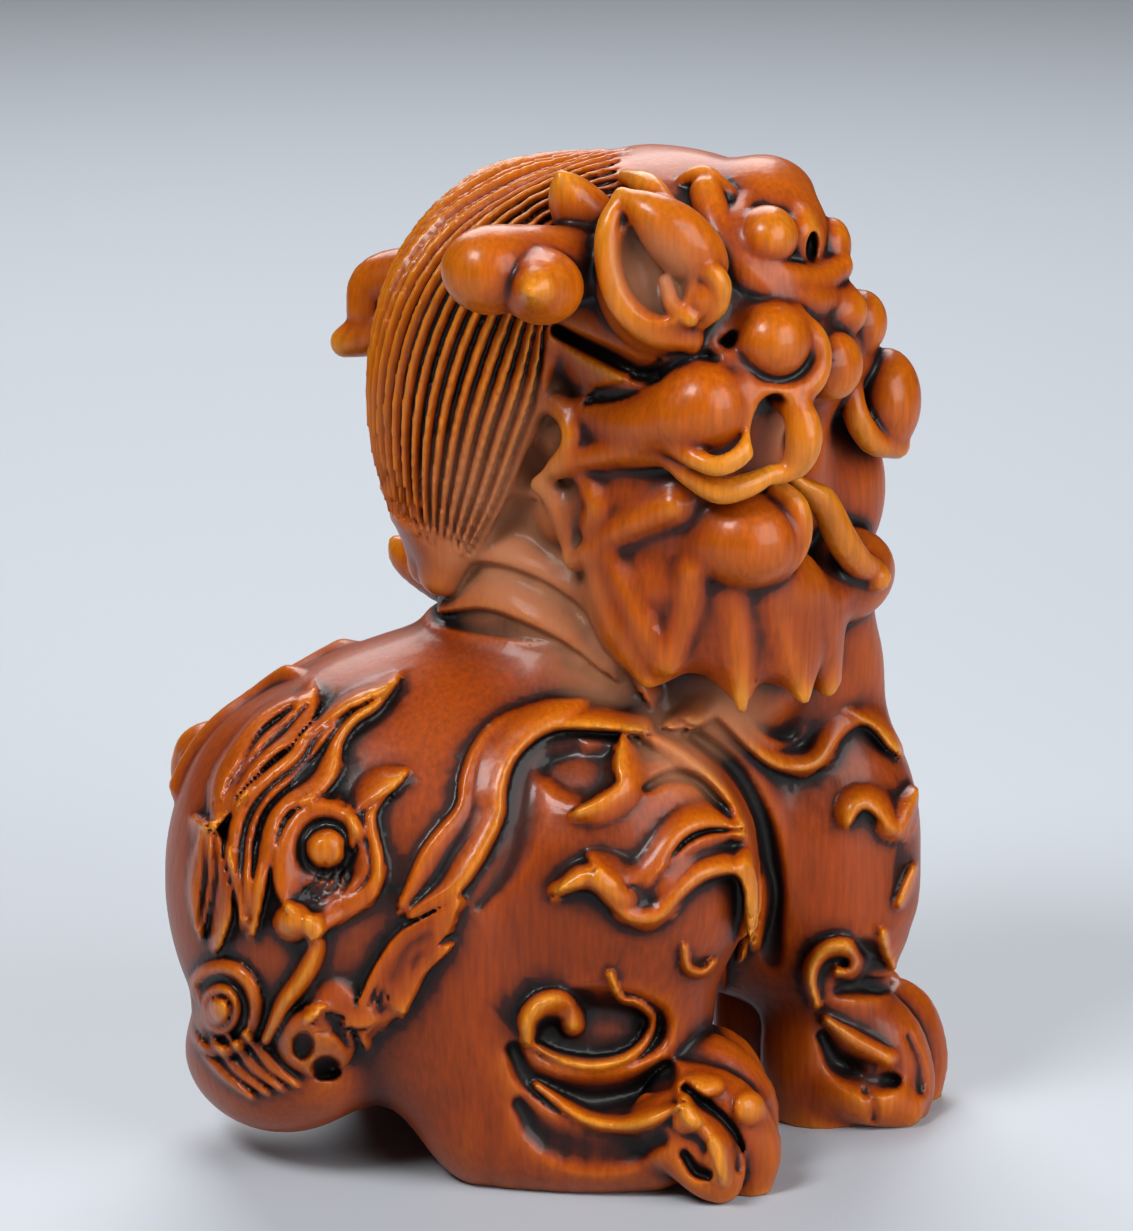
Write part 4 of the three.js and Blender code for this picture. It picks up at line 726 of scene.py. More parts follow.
def shape_head(clay):
    """The mass of the head and the muzzle."""
    clay.add(ball(at(645, 285, -1), [13.8, 15.6, 12.4], [-5, 0, 0]), 3)
    clay.add(ball(at(705, 330, -4), [15, 16, 12.5], [-35, 0, 0]), 4)
    clay.add(ball(at(700, 470, -4), [12, 15, 15], [-40, 0, 0]), 4)
    clay.add(ball(at(700, 262, -3), [13, 10.5, 8.8], [-30, 8, 0]), 2)
    # crown, which falls to the brow
    clay.add(ball(at(646, 236, 0), [12.6, 12.5, 8.4], [-5, 0, 0]), 2)
    clay.add(ball(at(712, 232, -2), [10, 10, 6.4], [-20, 12, 0]), 3)
    clay.add(ball(at(768, 192, -4), [4.6, 6, 3.4], [-20, 20, 0]), 1.5)
    # far side of the head
    clay.add(ball(at(640, 300, 7), [15, 11, 13], [-10, 0, 0]), 4)
    clay.add(ball(at(715, 470, 5), [12, 10, 12], [-25, 0, 0]), 4)
    # throat behind the frill, down to the chest
    clay.add(ball(at(722, 640, -4), [9.5, 9, 11]), 3)
    clay.add(ball(at(800, 660, 3), [8, 8, 10]), 3)
    # back of the head inside the lock
    clay.add(ball(at(480, 370, 4), [8, 9, 14]), 2)
    # muzzle core and far jaw
    clay.add(ball(at(815, 350, -2), [5.6, 7.5, 6.0], [-40, 0, 0]), 2)
    clay.add(ball(at(825, 490, 3), [5.4, 7, 9], [-40, 0, 0]), 2)
    clay.add(ball(at(800, 600, 0), [6.5, 8, 6], [-40, 0, 0]), 2)


def shape_horns(clay):
    """The forked horns."""
    clay.add(limb([
        at(622, 262, -12, 3.4), at(562, 262, -16, 3.5), at(518, 266, -19, 4.0),
        at(490, 270, -21, 4.3), at(474, 268, -21.5, 3.2),
    ]), 0.8)
    clay.add(ball(at(541, 286, -22), [4.1, 4.2, 3.7], [0, 12, 0]), 0.5)
    clay.add(limb([at(540, 286, -25, 2.4), at(531, 291, -27.5, 0.7)]), 1.0)
    clay.add(limb([at(588, 222, -12, 3.2), at(572, 198, -13, 2.3), at(560, 174, -14, 0.5)]), 1.0)
    clay.add(limb([
        at(470, 275, 12, 3.4), at(410, 278, 14, 3.2), at(378, 286, 15, 2.9),
        at(366, 310, 14, 2.0),
    ]), 0.8)
    clay.add(limb([at(420, 318, 13, 2.6), at(372, 332, 14, 2.4), at(346, 342, 14, 1.6)]), 0.6)


def shape_ears(clay):
    """The cupped ears and their curls."""
    clay.emboss(stroke([
        (556, 330, 8), (600, 352, 13), (650, 374, 14), (700, 364, 12), (734, 336, 8),
    ], NEAR), -2.0)
    clay.add(ball(at(658, 276, -17), [6.2, 6.2, 8.0], [0, -10, 0]), 0.6)
    clay.cut(ball(at(650, 270, -25.5), [4.4, 6.6, 6.4], [0, -14, 0]), 0.4)
    # rim from the tip around the cup, and the thick flap in front
    clay.add(limb([
        at(622, 196, -19, 0.8), at(608, 226, -20, 1.1), at(607, 262, -20.5, 1.2),
        at(620, 302, -21, 1.3), at(650, 330, -21, 1.4), at(690, 338, -20, 1.3),
    ]), 0.5)
    clay.add(limb([
        at(622, 196, -19, 0.8), at(648, 212, -20, 2.0), at(672, 232, -20, 3.0),
        at(692, 252, -19.5, 3.1), at(706, 264, -18.5, 2.2),
    ]), 0.5)
    # curls inside
    clay.add(limb([at(666, 282, -20.5, 0.8), at(674, 306, -21.5, 0.9), at(690, 318, -22, 0.9)]), 0.3)
    clay.add(ball(at(703, 294, -20), [2.1, 2.6, 2.6]), 0.4)
    clay.add(limb([
        at(686, 272, -20.5, 0.9), at(706, 270, -21.5, 1.1), at(719, 284, -21.5, 1.2),
        at(716, 306, -21, 1.1), at(700, 320, -20.5, 1.0),
    ]), 0.25)
    # plain far ear
    clay.add(ball(at(668, 262, 16), [5, 4, 6.5], [0, 0, 10]), 0.8)
    clay.cut(ball(at(668, 256, 21), [3.4, 3.4, 4.4], [0, 0, 10]), 0.6)


def shape_face(clay):
    """Brow, nose, lips, cheeks, jaw and mouth."""
    # ridge from the crown and the dome of the nose
    clay.add(limb([
        at(650, 202, 2, 5.0), at(715, 212, -3, 4.6), at(752, 222, -6, 5.0),
        at(778, 236, -7, 5.0),
    ]), 2.0)
    # double lip under the nose
    clay.add(limb([
        at(744, 206, -10.5, 1.2), at(738, 228, -13.5, 1.5), at(752, 256, -15, 1.6),
        at(782, 276, -14.5, 1.7), at(815, 280, -11.5, 1.6), at(838, 266, -8, 1.5),
    ]), 0.9)
    clay.add(limb([
        at(706, 192, -10.5, 1.6), at(716, 226, -13, 2.0), at(738, 264, -15, 2.1),
        at(770, 288, -15, 2.0), at(806, 300, -13, 1.9), at(836, 292, -8, 1.7),
    ]), 0.4)
    clay.add(ball(at(767, 236, -13.5), [3.0, 3.4, 3.0]), 0.3)
    clay.add(ball(at(800, 236, -10), [2.0, 3.0, 3.0]), 0.8)
    clay.add(ball(at(832, 246, -6), [1.9, 3.0, 2.8]), 0.5)
    clay.cut(ball(at(812, 246, -11.5), [0.7, 2.2, 1.5]), 0.3)
    # small leaves over the eye
    clay.add(limb([at(626, 176, -8, 0.8), at(648, 186, -12, 1.3), at(668, 206, -15, 1.0)]), 0.4)
    clay.add(limb([at(684, 180, -8.5, 0.7), at(704, 177, -9, 1.2), at(728, 192, -10, 0.8)]), 0.4)
    # pads of the upper lip
    clay.add(ball(at(771, 340, -17), [3.9, 4.2, 3.9]), 1.2)
    clay.add(limb([
        at(796, 316, -16.5, 0.8), at(814, 336, -16.5, 1.2), at(819, 362, -16.5, 1.3),
        at(806, 386, -17.5, 1.4), at(778, 396, -19, 1.3), at(750, 386, -20, 0.9),
    ]), 0.9)
    clay.add(ball(at(861, 322, -3), [2.6, 3.4, 3.2]), 0.5)
    clay.add(ball(at(834, 366, -12.5), [2.5, 3.2, 3.4], [-45, 0, 0]), 0.5)
    clay.add(ball(at(840, 312, -9), [2.4, 3.0, 2.6], [-45, 0, 0]), 0.8)
    # cheeks
    clay.add(ball(at(703, 405, -19.5), [4.6, 4.6, 4.5]), 2.0)
    clay.add(ball(at(886, 400, 0), [3.5, 4.6, 5.2]), 0.5)
    clay.add(limb([at(610, 424, -14, 2.2), at(650, 424, -18, 2.8), at(680, 418, -20, 3.4)]), 1.2)
    clay.add(limb([
        at(632, 442, -18, 0.8), at(662, 440, -20.5, 0.9), at(690, 456, -22.5, 1.0),
        at(716, 466, -23.5, 1.0), at(740, 456, -23, 1.0), at(754, 432, -21.5, 0.9),
        at(750, 400, -20.5, 0.8), at(738, 368, -19.5, 0.8), at(714, 347, -19, 0.6),
    ]), 0.9)
    clay.add(limb([
        at(632, 452, -17.5, 0.9), at(664, 454, -19.5, 1.1), at(692, 476, -21, 1.2),
        at(720, 491, -21.5, 1.3), at(748, 485, -21, 1.2), at(770, 474, -20, 0.9),
    ]), 0.9)
    clay.add(limb([
        at(851, 372, -4, 1.0), at(855, 412, -5, 1.3), at(872, 440, -4, 1.4),
        at(896, 445, -1, 1.4),
    ]), 0.4)
    # lower jaw
    clay.add(ball(at(742, 540, -17), [5.6, 5.0, 4.9], [-15, 0, 0]), 1.2)
    clay.add(ball(at(782, 577, -13.5), [3.0, 4.4, 2.8], [-30, 0, 0]), 0.3)
    clay.add(limb([
        at(778, 488, -17, 1.0), at(796, 508, -17.5, 1.3), at(799, 536, -17.5, 1.3),
        at(788, 562, -17.5, 1.1), at(764, 578, -17.5, 0.8),
    ]), 0.9)
    clay.add(ball(at(842, 575, -4), [4.4, 6.5, 4.8], [-40, 0, 0]), 1.0)
    clay.add(limb([
        at(800, 475, -13, 1.6), at(825, 505, -12, 1.5), at(842, 540, -11, 1.6),
        at(858, 562, -9, 1.5), at(872, 570, -7, 1.3), at(876, 577, -7, 1.5),
    ]), 0.4)
    # mouth
    clay.cut(ball(at(836, 442, -12), [4.8, 6, 4.2], [-40, 0, 0]), 0.8)
    clay.cut(ball(at(862, 505, -6), [2.2, 4, 3.6], [-40, 0, 0]), 0.8)
    clay.cut(ball(at(772, 428, -22), [2.0, 6, 3.2], [0, 12, 0]), 0.5)
    clay.add(limb([
        at(782, 402, -17.5, 1.0), at(799, 414, -18.5, 1.6), at(804, 440, -19, 1.8),
        at(796, 464, -19, 1.4), at(778, 476, -19.5, 0.8),
    ]), 0.9)


def shape_frill(clay):
    """The pointed frill below the cheek."""
    # skins between the ribs
    webs = [
        [at(660, 432, -13.5, 4.0), at(610, 434, -11, 3.8), at(572, 434, -8.5, 3.0)],
        [at(690, 486, -14, 4.6), at(640, 496, -12, 4.4), at(600, 506, -10, 4.0), at(572, 512, -9, 3.2)],
        [at(690, 545, -14, 4.8), at(648, 566, -13, 4.6), at(626, 592, -13, 4.2), at(640, 630, -14.5, 3.4)],
        [at(640, 630, -14.5, 3.4), at(656, 668, -16, 1.6)],
        [at(700, 590, -14, 4.6), at(696, 634, -14.5, 3.4), at(664, 652, -15.5, 1.6)],
        [at(662, 588, -15, 3.6), at(664, 636, -15.5, 2.8)],
        [at(725, 600, -14.5, 4.2), at(732, 650, -15, 3.2), at(740, 688, -16, 1.4)],
        [at(765, 600, -13.5, 4.2), at(772, 648, -14, 3.0)],
        [at(785, 604, -12, 4.0), at(792, 650, -12.5, 3.0), at(800, 682, -13.5, 1.4)],
        [at(808, 606, -9, 3.8), at(816, 640, -9, 2.8), at(826, 676, -8.5, 1.6)],
    ]
    for line in webs:
        clay.add(limb(line), 2.2)
    for line in webs[:5]:
        clay.add(mirrored(HEAD, limb(line)), 2.2)
    # crisp edges of the folds and the ribs to the points
    ribs = [
        [at(650, 420, -17, 1.4), at(590, 409, -14, 0.9), at(546, 405, -11.5, 0.5)],
        [at(558, 405, -12.5, 0.6), at(570, 436, -14.5, 0.8), at(558, 466, -13, 0.6)],
        [at(655, 446, -18.5, 1.5), at(600, 456, -15.5, 1.0), at(562, 466, -13, 0.8), at(536, 484, -11, 0.5)],
        [at(584, 474, -13.5, 0.6), at(597, 505, -15.5, 0.8), at(590, 530, -14.5, 0.6)],
        [at(546, 490, -11.5, 0.7), at(564, 520, -12, 0.8), at(570, 554, -12.5, 0.7)],
        [at(672, 506, -18.5, 1.4), at(632, 524, -17, 1.1), at(598, 546, -15, 0.8), at(574, 564, -13, 0.5)],
        [at(594, 556, -14.5, 0.8), at(604, 592, -15.5, 0.8), at(624, 640, -17, 0.8), at(646, 680, -17, 0.5)],
        [at(612, 560, -16, 0.6), at(640, 618, -18, 0.8), at(662, 660, -18, 0.6)],
        [at(692, 572, -19, 1.0), at(686, 612, -18.5, 0.9), at(668, 664, -18, 0.6)],
        [at(732, 596, -18, 1.0), at(738, 650, -18, 0.8), at(742, 708, -18, 0.5)],
        [at(768, 600, -16.5, 1.0), at(785, 648, -16, 0.8), at(804, 698, -15, 0.5)],
        [at(810, 588, -12.5, 1.0), at(823, 640, -11, 0.8), at(828, 690, -10, 0.5)],
    ]
    for line in ribs:
        clay.add(limb(line), 1.6)
    # beard lock below the far jaw
    clay.add(limb([
        at(828, 620, 0, 4.4), at(840, 665, 2, 4.2), at(854, 705, 3, 3.2), at(868, 735, 5, 2.2),
    ]), 1.2)


def draw_fine_lines(clay):
    """The fine lines of the locks."""
    # lines cut beside the edges of the locks, and in the curls
    for line in [
        [
            (372, 700, 4), (340, 722, 5), (316, 756, 5), (286, 790, 5), (262, 820, 5),
            (254, 870, 5), (250, 920, 4),
        ],
        [
            (384, 696, 4), (352, 712, 5), (328, 744, 5), (306, 778, 5), (274, 800, 5),
            (258, 836, 5), (252, 876, 4),
        ],
        [
            (352, 708, 4), (322, 732, 5), (300, 762, 5), (266, 792, 5), (246, 826, 5),
            (242, 870, 5), (246, 915, 4),
        ],
        [(306, 706, 4), (284, 730, 5), (256, 756, 5), (238, 782, 5), (226, 812, 4)],
        [(292, 708, 4), (264, 730, 5), (244, 760, 5), (228, 788, 5), (220, 818, 4)],
        [
            (392, 794, 4), (364, 812, 5), (364, 830, 5), (370, 856, 5), (369, 876, 5),
            (360, 888, 5), (340, 902, 4),
        ],
        [(430, 930, 4), (404, 950, 5), (390, 976, 5), (378, 1002, 4)],
        [(438, 932, 4), (410, 944, 5), (398, 970, 5), (388, 998, 4)],
        [(416, 930, 4), (394, 952, 5), (380, 980, 5), (368, 1006, 4)],
        [(212, 832, 4), (216, 870, 5), (212, 905, 5), (206, 935, 4)],
        [(204, 832, 4), (206, 870, 5), (202, 905, 5), (200, 930, 4)],
    ]:
        clay.emboss(stroke(line, RUMP), -0.6)
    for k in range(4):
        clay.emboss(stroke([
            (350 - 8 * k, 872 - 4 * k, 4), (342 - 8 * k, 892 - 4 * k, 5),
            (320 - 5 * k, 906 - 5 * k, 4),
        ], RUMP), -0.6)
        clay.emboss(stroke([
            (304 + 4 * k, 1012 + 7 * k, 4), (322 + 4 * k, 1012 + 7 * k, 5),
            (342 + 2 * k, 1026 + 7 * k, 4),
        ], RUMP), -0.5)
    for r in (14, 36):
        clay.emboss(ring(220, 1010, 0.8 * r, r, 4, RUMP), -0.5)
    # wrinkles under the eye and lines on the muzzle
    for k in range(3):
        clay.emboss(stroke([
            (584 + 6 * k, 404 - 7 * k, 4), (622 + 4 * k, 396 - 8 * k, 5), (660, 378 - 9 * k, 4),
        ], NEAR), -0.5)


def shaped_clay(grain):
    """The whole figure in clay, cut off at the level of the soles."""
    clay = Clay(BLOCK_LOW, BLOCK_HIGH, grain)
    shape_body(clay)
    shape_hind_legs(clay)
    shape_front_legs(clay)
    fill_between_feet(clay)
    shape_tail(clay)
    draw_haunches(clay)
    draw_legs(clay)
    draw_chest(clay)
    draw_neck(clay)
    shape_head(clay)
    shape_mane(clay)
    shape_horns(clay)
    shape_ears(clay)
    shape_face(clay)
    shape_frill(clay)
    draw_fine_lines(clay)
    clay.field = np.maximum(clay.field, -clay.axes[2][None, None, :])
    return clay


# How far each part of the wood is handled and polished, and how much painted shade falls in its grooves and hollows,
# is read from how much wood lies around it.
EDGE_WEAR_AND_GROOVE_SHADE_REACH = 1.2
SHADE_REACH = 3.2
# Share of the way to the side of the box at which a tip starts to be drawn in.
TIP_START = 0.9
# Places that the cloth never reached, left dull and dusty, their grey partly a painted sky reflection: marks across
# and down, depth and reach.
DUST_AND_SHEEN_SPOTS = [
    (520, 420, -8, 8),
    (505, 490, -10, 9),
    (485, 560, -10, 9),
    (560, 600, -12, 8),
    (600, 655, -12, 6),
    (652, 268, -22, 5),
    (690, 742, -17, 7),
    (730, 715, -12, 6),
    (800, 445, -16, 5),
]


def blurred(values, cells, times=2):
    """A block of values evened out over so many cells each way."""
    for axis in range(3):
        for _ in range(times):
            total = np.cumsum(values, axis=axis, dtype=np.float32)
            last = values.shape[axis] - 1
            near = np.take(total, np.clip(np.arange(last + 1) + cells, 0, last), axis)
            far = np.take(total, np.clip(np.arange(last + 1) - cells - 1, 0, last), axis)
            values = (near - far) / (2 * cells + 1)
    return values


def dust_and_sheen_at(points):
    """How far each point lies in a dull, dusty place whose grey is partly a painted sky reflection, from 0 to 1."""
    found = np.zeros(len(points), np.float32)
    for across, down, depth, reach in DUST_AND_SHEEN_SPOTS:
        off = np.linalg.norm(points - np.array(at(across, down, depth)), axis=1) / reach
        found = np.maximum(found, np.clip(1.6 * (1 - off), 0, 1))
    return found


def to_frame(points):
    """Points of the working frame turned to face along +X and measured in metres, before they are centred."""
    turn = np.array(Matrix.Rotation(math.radians(-BODY_TURN), 3, "Z"))
    return np.asarray(points, float) @ turn.T * UNIT


def seated(points):
    """The carving over the middle of its own box, its outermost tips drawn in to the box of the solid."""
    low, high = points.min(0), points.max(0)
    middle = np.array([(low[0] + high[0]) / 2, (low[1] + high[1]) / 2, low[2]])
    placed = points - middle
    for axis, room in enumerate(CAD_BOX[1]):
        side = placed[:, axis]
        reach = np.abs(side).max()
        if reach > room:
            tips = TIP_START * room
            beyond = np.maximum(np.abs(side) - tips, 0)
            side -= np.sign(side) * beyond * (reach - room) / (reach - tips)
    return placed, middle


def skin_of(clay):
    """The skin of the clay as corners in units and faces that point outwards."""
    grid = openvdb.FloatGrid(EMPTY)
    grid.copyFromArray(clay.field)
    corners, faces = grid.convertToQuads(0.0)
    start = np.array([axis[0] for axis in clay.axes])
    return corners * clay.grain + start, faces[:, ::-1]


def largest_part(piece):
    """Parts the piece where it doesn't hang together and keeps the largest part."""
    bpy.ops.object.select_all(action="DESELECT")
    piece.select_set(True)
    bpy.context.view_layer.objects.active = piece
    bpy.ops.mesh.separate(type="LOOSE")
    parts = sorted(bpy.context.selected_objects, key=lambda part: len(part.data.vertices))
    for crumb in parts[:-1]:
        bpy.data.objects.remove(crumb)
    return parts[-1]


def thinned(piece, budget):
    """Thins the piece to a number of triangles."""
    triangles = sum(len(face.vertices) - 2 for face in piece.data.polygons)
    thin = piece.modifiers.new("Thin", "DECIMATE")
    thin.ratio = min(1.0, budget / triangles)
    thin.use_collapse_triangulate = True
    applied = bpy.data.meshes.new_from_object(piece.evaluated_get(bpy.context.evaluated_depsgraph_get()))
    piece.modifiers.clear()
    piece.data = applied


def add_attribute(mesh, name, values):
    layer = mesh.attributes.new(name, "FLOAT", "POINT")
    layer.data.foreach_set("value", np.ascontiguousarray(values, np.float32))


def linear(colour):
    """An sRGB hex colour as linear values."""
    shares = [int(colour[k : k + 2], 16) / 255 for k in (1, 3, 5)]
    values = [v / 12.92 if v <= 0.04045 else ((v + 0.055) / 1.055) ** 2.4 for v in shares]
    return (*values, 1.0)


def add_node(tree, kind, links=None, **settings):
    """Adds a node with its settings and links; a link or a value is given by the name or number of its input."""
    node = tree.nodes.new(kind)
    for name, value in settings.items():
        setattr(node, name, value)
    for name, source in (links or {}).items():
        if isinstance(source, bpy.types.NodeSocket):
            tree.links.new(source, node.inputs[name])
        else:
            node.inputs[name].default_value = source
    return node


def colour_stops(tree, factor, stops):
    """A ramp of colours along a factor: each stop is a place from 0 to 1 and a colour."""
    ramp = add_node(tree, "ShaderNodeValToRGB", {"Fac": factor})
    bands = ramp.color_ramp.elements
    while len(bands) < len(stops):
        bands.new(0.5)
    for band, (place, colour) in zip(bands, stops):
        band.position = place
        band.color = colour
    return ramp.outputs["Color"]


def boxwood(sizes):
    """Old boxwood, carved, stained with lacquer and polished by hand.

    The highs are worn to a clear amber gloss, the flanks stay red brown, and the cuts and hollows keep the dark
    stain under painted shade. A few unpolished places are dull and dusty, their grey partly a painted sky reflection.
    Short fibres and the ripple of the knife show in the gloss.
    """
    material = bpy.data.materials.new("polished_boxwood_painted_shade")
    material.use_nodes = True
    tree = material.node_tree
    tree.nodes.clear()
    place = add_node(tree, "ShaderNodeTexCoord").outputs["Object"]
    edge_wear_and_groove_shade = add_node(tree, "ShaderNodeAttribute", attribute_name="edge_wear_and_groove_shade").outputs["Fac"]
    shade = add_node(tree, "ShaderNodeAttribute", attribute_name="shade").outputs["Fac"]

    fibre_scale = (1 / sizes.fibre_width, 1 / sizes.fibre_width, 1 / sizes.fibre_length)
    fibre_place = add_node(tree, "ShaderNodeMapping", {"Vector": place, "Scale": fibre_scale})
    fibre = add_node(
        tree, "ShaderNodeTexNoise", {"Vector": fibre_place.outputs[0], "Scale": 1.0, "Detail": 3.0}
    ).outputs["Fac"]
    ripple = add_node(
        tree,
        "ShaderNodeTexNoise",
        {"Vector": place, "Scale": 1 / sizes.ripple, "Detail": 2.0, "Roughness": 0.45},
    ).outputs["Fac"]
    mottle = add_node(
        tree,
        "ShaderNodeTexNoise",
        {"Vector": place, "Scale": 1 / sizes.mottle, "Detail": 4.0, "Roughness": 0.6},
    ).outputs["Fac"]

    # From 0 in a cut to 1 on a raised form: wear on the edges less painted shade in the hollows, lighter towards the
    # top and darker towards the bottom, painted shade in thin grooves, and the mottle.
    wear_less_shade = add_node(tree, "ShaderNodeMath", {0: shade, 1: -1.8, 2: edge_wear_and_groove_shade}, operation="MULTIPLY_ADD")
    height = add_node(tree, "ShaderNodeSeparateXYZ", {0: place}).outputs["Z"]
    # Lighter towards the top and darker towards the bottom.
    clear = add_node(
        tree, "ShaderNodeMapRange", {"Value": height, "From Max": HEIGHT_MM * MM, "To Min": -0.1, "To Max": 0.07}
    ).outputs[0]
    wear_less_shade = add_node(tree, "ShaderNodeMath", {0: wear_less_shade.outputs[0], 1: clear}, operation="ADD")
    # Painted shade in thin grooves, where the fine measure falls below 0.47.
    groove_shade = add_node(tree, "ShaderNodeMath", {0: edge_wear_and_groove_shade, 1: 0.47}, operation="SUBTRACT").outputs[0]
    groove_shade = add_node(tree, "ShaderNodeMath", {0: groove_shade, 1: 0.0}, operation="MINIMUM").outputs[0]
    wear_less_shade = add_node(tree, "ShaderNodeMath", {0: groove_shade, 1: 2.2, 2: wear_less_shade.outputs[0]}, operation="MULTIPLY_ADD")
    # worn holds the painted shade of the hollows and grooves as well as the wear of the edges, with the mottle.
    worn = add_node(tree, "ShaderNodeMath", {0: mottle, 1: 0.16, 2: wear_less_shade.outputs[0]}, operation="MULTIPLY_ADD")
    worn = add_node(
        tree, "ShaderNodeMapRange", {"Value": worn.outputs[0], "From Min": -0.86, "From Max": 0.38}
    ).outputs[0]
    # The cut and shadow stops are painted shade over the darker stain of the cuts; the flanks, highs and edges are
    # the stain and its wear.
    stained = colour_stops(
        tree,
        worn,
        [
            (0.0, sizes.cut_stain_and_shade_colour),
            (0.24, sizes.shadow_colour),
            (0.44, sizes.flank_colour),
            (0.7, sizes.high_colour),
            (1.0, sizes.edge_colour),
        ],
    )
    streaked = add_node(
        tree, "ShaderNodeMapRange", {"Value": fibre, "From Min": 0.3, "From Max": 0.7, "To Min": 0.78, "To Max": 1.12}
    ).outputs[0]
    grained = add_node(
        tree, "ShaderNodeVectorMath", {0: stained, "Scale": streaked}, operation="SCALE"
    ).outputs[0]

    # Unpolished wood where the cloth never reached, dull and dusty, its grey partly a painted sky reflection.
    dust_and_sheen_place = add_node(tree, "ShaderNodeAttribute", attribute_name="dust_and_sheen").outputs["Fac"]
    dull = add_node(tree, "ShaderNodeMath", {0: mottle, 1: 1.5}, operation="MULTIPLY")
    dust_and_sheen = add_node(
        tree, "ShaderNodeMath", {0: dull.outputs[0], 1: dust_and_sheen_place}, operation="MULTIPLY", use_clamp=True
    ).outputs[0]
    colour = add_node(
        tree,
        "ShaderNodeMix",
        {"Factor": dust_and_sheen, 6: grained, 7: tuple(sizes.dust_and_sheen_colour)},
        data_type="RGBA",
    ).outputs[2]

    gloss = add_node(
        tree,
        "ShaderNodeMapRange",
        {"Value": worn, "From Min": 0.1, "From Max": 0.8, "To Min": 0.5, "To Max": 0.25},
    ).outputs[0]
    gloss = add_node(tree, "ShaderNodeMath", {0: mottle, 1: 0.12, 2: gloss}, operation="MULTIPLY_ADD").outputs[0]
    gloss = add_node(tree, "ShaderNodeMix", {"Factor": dust_and_sheen, 2: gloss, 3: 0.72}).outputs[0]
    oil = add_node(tree, "ShaderNodeMapRange", {"Value": dust_and_sheen, "To Min": 0.2, "To Max": 0.0}).outputs[0]

    knife = add_node(
        tree,
        "ShaderNodeBump",
        {"Height": ripple, "Strength": 0.35, "Distance": sizes.ripple_depth},
    ).outputs[0]
    relief = add_node(
        tree,
        "ShaderNodeBump",
        {"Height": fibre, "Strength": 0.25, "Distance": sizes.fibre_depth, "Normal": knife},
    ).outputs[0]
    shader = add_node(
        tree,
        "ShaderNodeBsdfPrincipled",
        {
            "Base Color": colour,
            "Roughness": gloss,
            "IOR": 1.5,
            "Normal": relief,
            "Specular IOR Level": 0.22,
            "Coat Weight": oil,
            "Coat Roughness": 0.16,
        },
    )
    add_node(tree, "ShaderNodeOutputMaterial", {"Surface": shader.outputs[0]})
    return material


class CarvingSizes(bpy.types.PropertyGroup):
    grain: FloatProperty(
        name="Grain of the clay",
        description="Size of the cells that the form is worked in",
        default=0.25 * MM,
        unit="LENGTH",
    )
    triangles: IntProperty(name="Triangles", description="Triangles of the finished mesh", default=190000)
    fibre_width: FloatProperty(
        name="Fibre width", description="Width of a wood fibre", default=0.35 * MM, unit="LENGTH"
    )
    fibre_length: FloatProperty(
        name="Fibre length", description="Length of a wood fibre", default=4.0 * MM, unit="LENGTH"
    )
    fibre_depth: FloatProperty(
        name="Fibre depth", description="Depth of a wood fibre", default=0.08 * MM, unit="LENGTH"
    )
    ripple: FloatProperty(
        name="Knife ripple", description="Width of a knife mark", default=1.3 * MM, unit="LENGTH"
    )
    ripple_depth: FloatProperty(
        name="Ripple depth", description="Depth of a knife mark", default=0.18 * MM, unit="LENGTH"
    )
    mottle: FloatProperty(
        name="Mottle", description="Width of a patch of stain", default=9.0 * MM, unit="LENGTH"
    )
    # Painted shade over the dark stain in the cuts.
    cut_stain_and_shade_colour: FloatVectorProperty(
        name="Cuts",
        description="Stain in the cuts",
        subtype="COLOR",
        size=4,
        default=linear("#080201"),
    )
    # Painted shade over the stain beside the cuts.
    shadow_colour: FloatVectorProperty(
        name="Shadows",
        description="Stain beside the cuts",
        subtype="COLOR",
        size=4,
        default=linear("#350D03"),
    )
    flank_colour: FloatVectorProperty(
        name="Flanks",
        description="Stained wood of the flanks",
        subtype="COLOR",
        size=4,
        default=linear("#8E3600"),
    )
    high_colour: FloatVectorProperty(
        name="Highs",
        description="Polished wood of the highs",
        subtype="COLOR",
        size=4,
        default=linear("#B25402"),
    )
    edge_colour: FloatVectorProperty(
        name="Edges",
        description="Wood worn clear on the edges",
        subtype="COLOR",
        size=4,
        default=linear("#CC7C1C"),
    )
    # Dull, dusty wood whose grey is partly a painted sky reflection.
    dust_and_sheen_colour: FloatVectorProperty(
        name="Bare wood",
        description="Dull wood that the cloth never reached",
        subtype="COLOR",
        size=4,
        default=linear("#A86C48"),
    )


class StageSizes(bpy.types.PropertyGroup):
    floor_colour: FloatVectorProperty(
        name="Floor",
        description="Colour of the floor and backdrop",
        subtype="COLOR",
        size=4,
        default=linear("#B4BAC2"),
    )
    floor_width: FloatProperty(name="Floor width", description="Width of the floor", default=4.0, unit="LENGTH")
    key_power: FloatProperty(name="Key light", description="Power of the large light in watts", default=2.8)
    fill_power: FloatProperty(name="Fill light", description="Power of the light in front in watts", default=2.7)
    sky: FloatProperty(name="Sky", description="Strength of the even light from all sides", default=0.05)


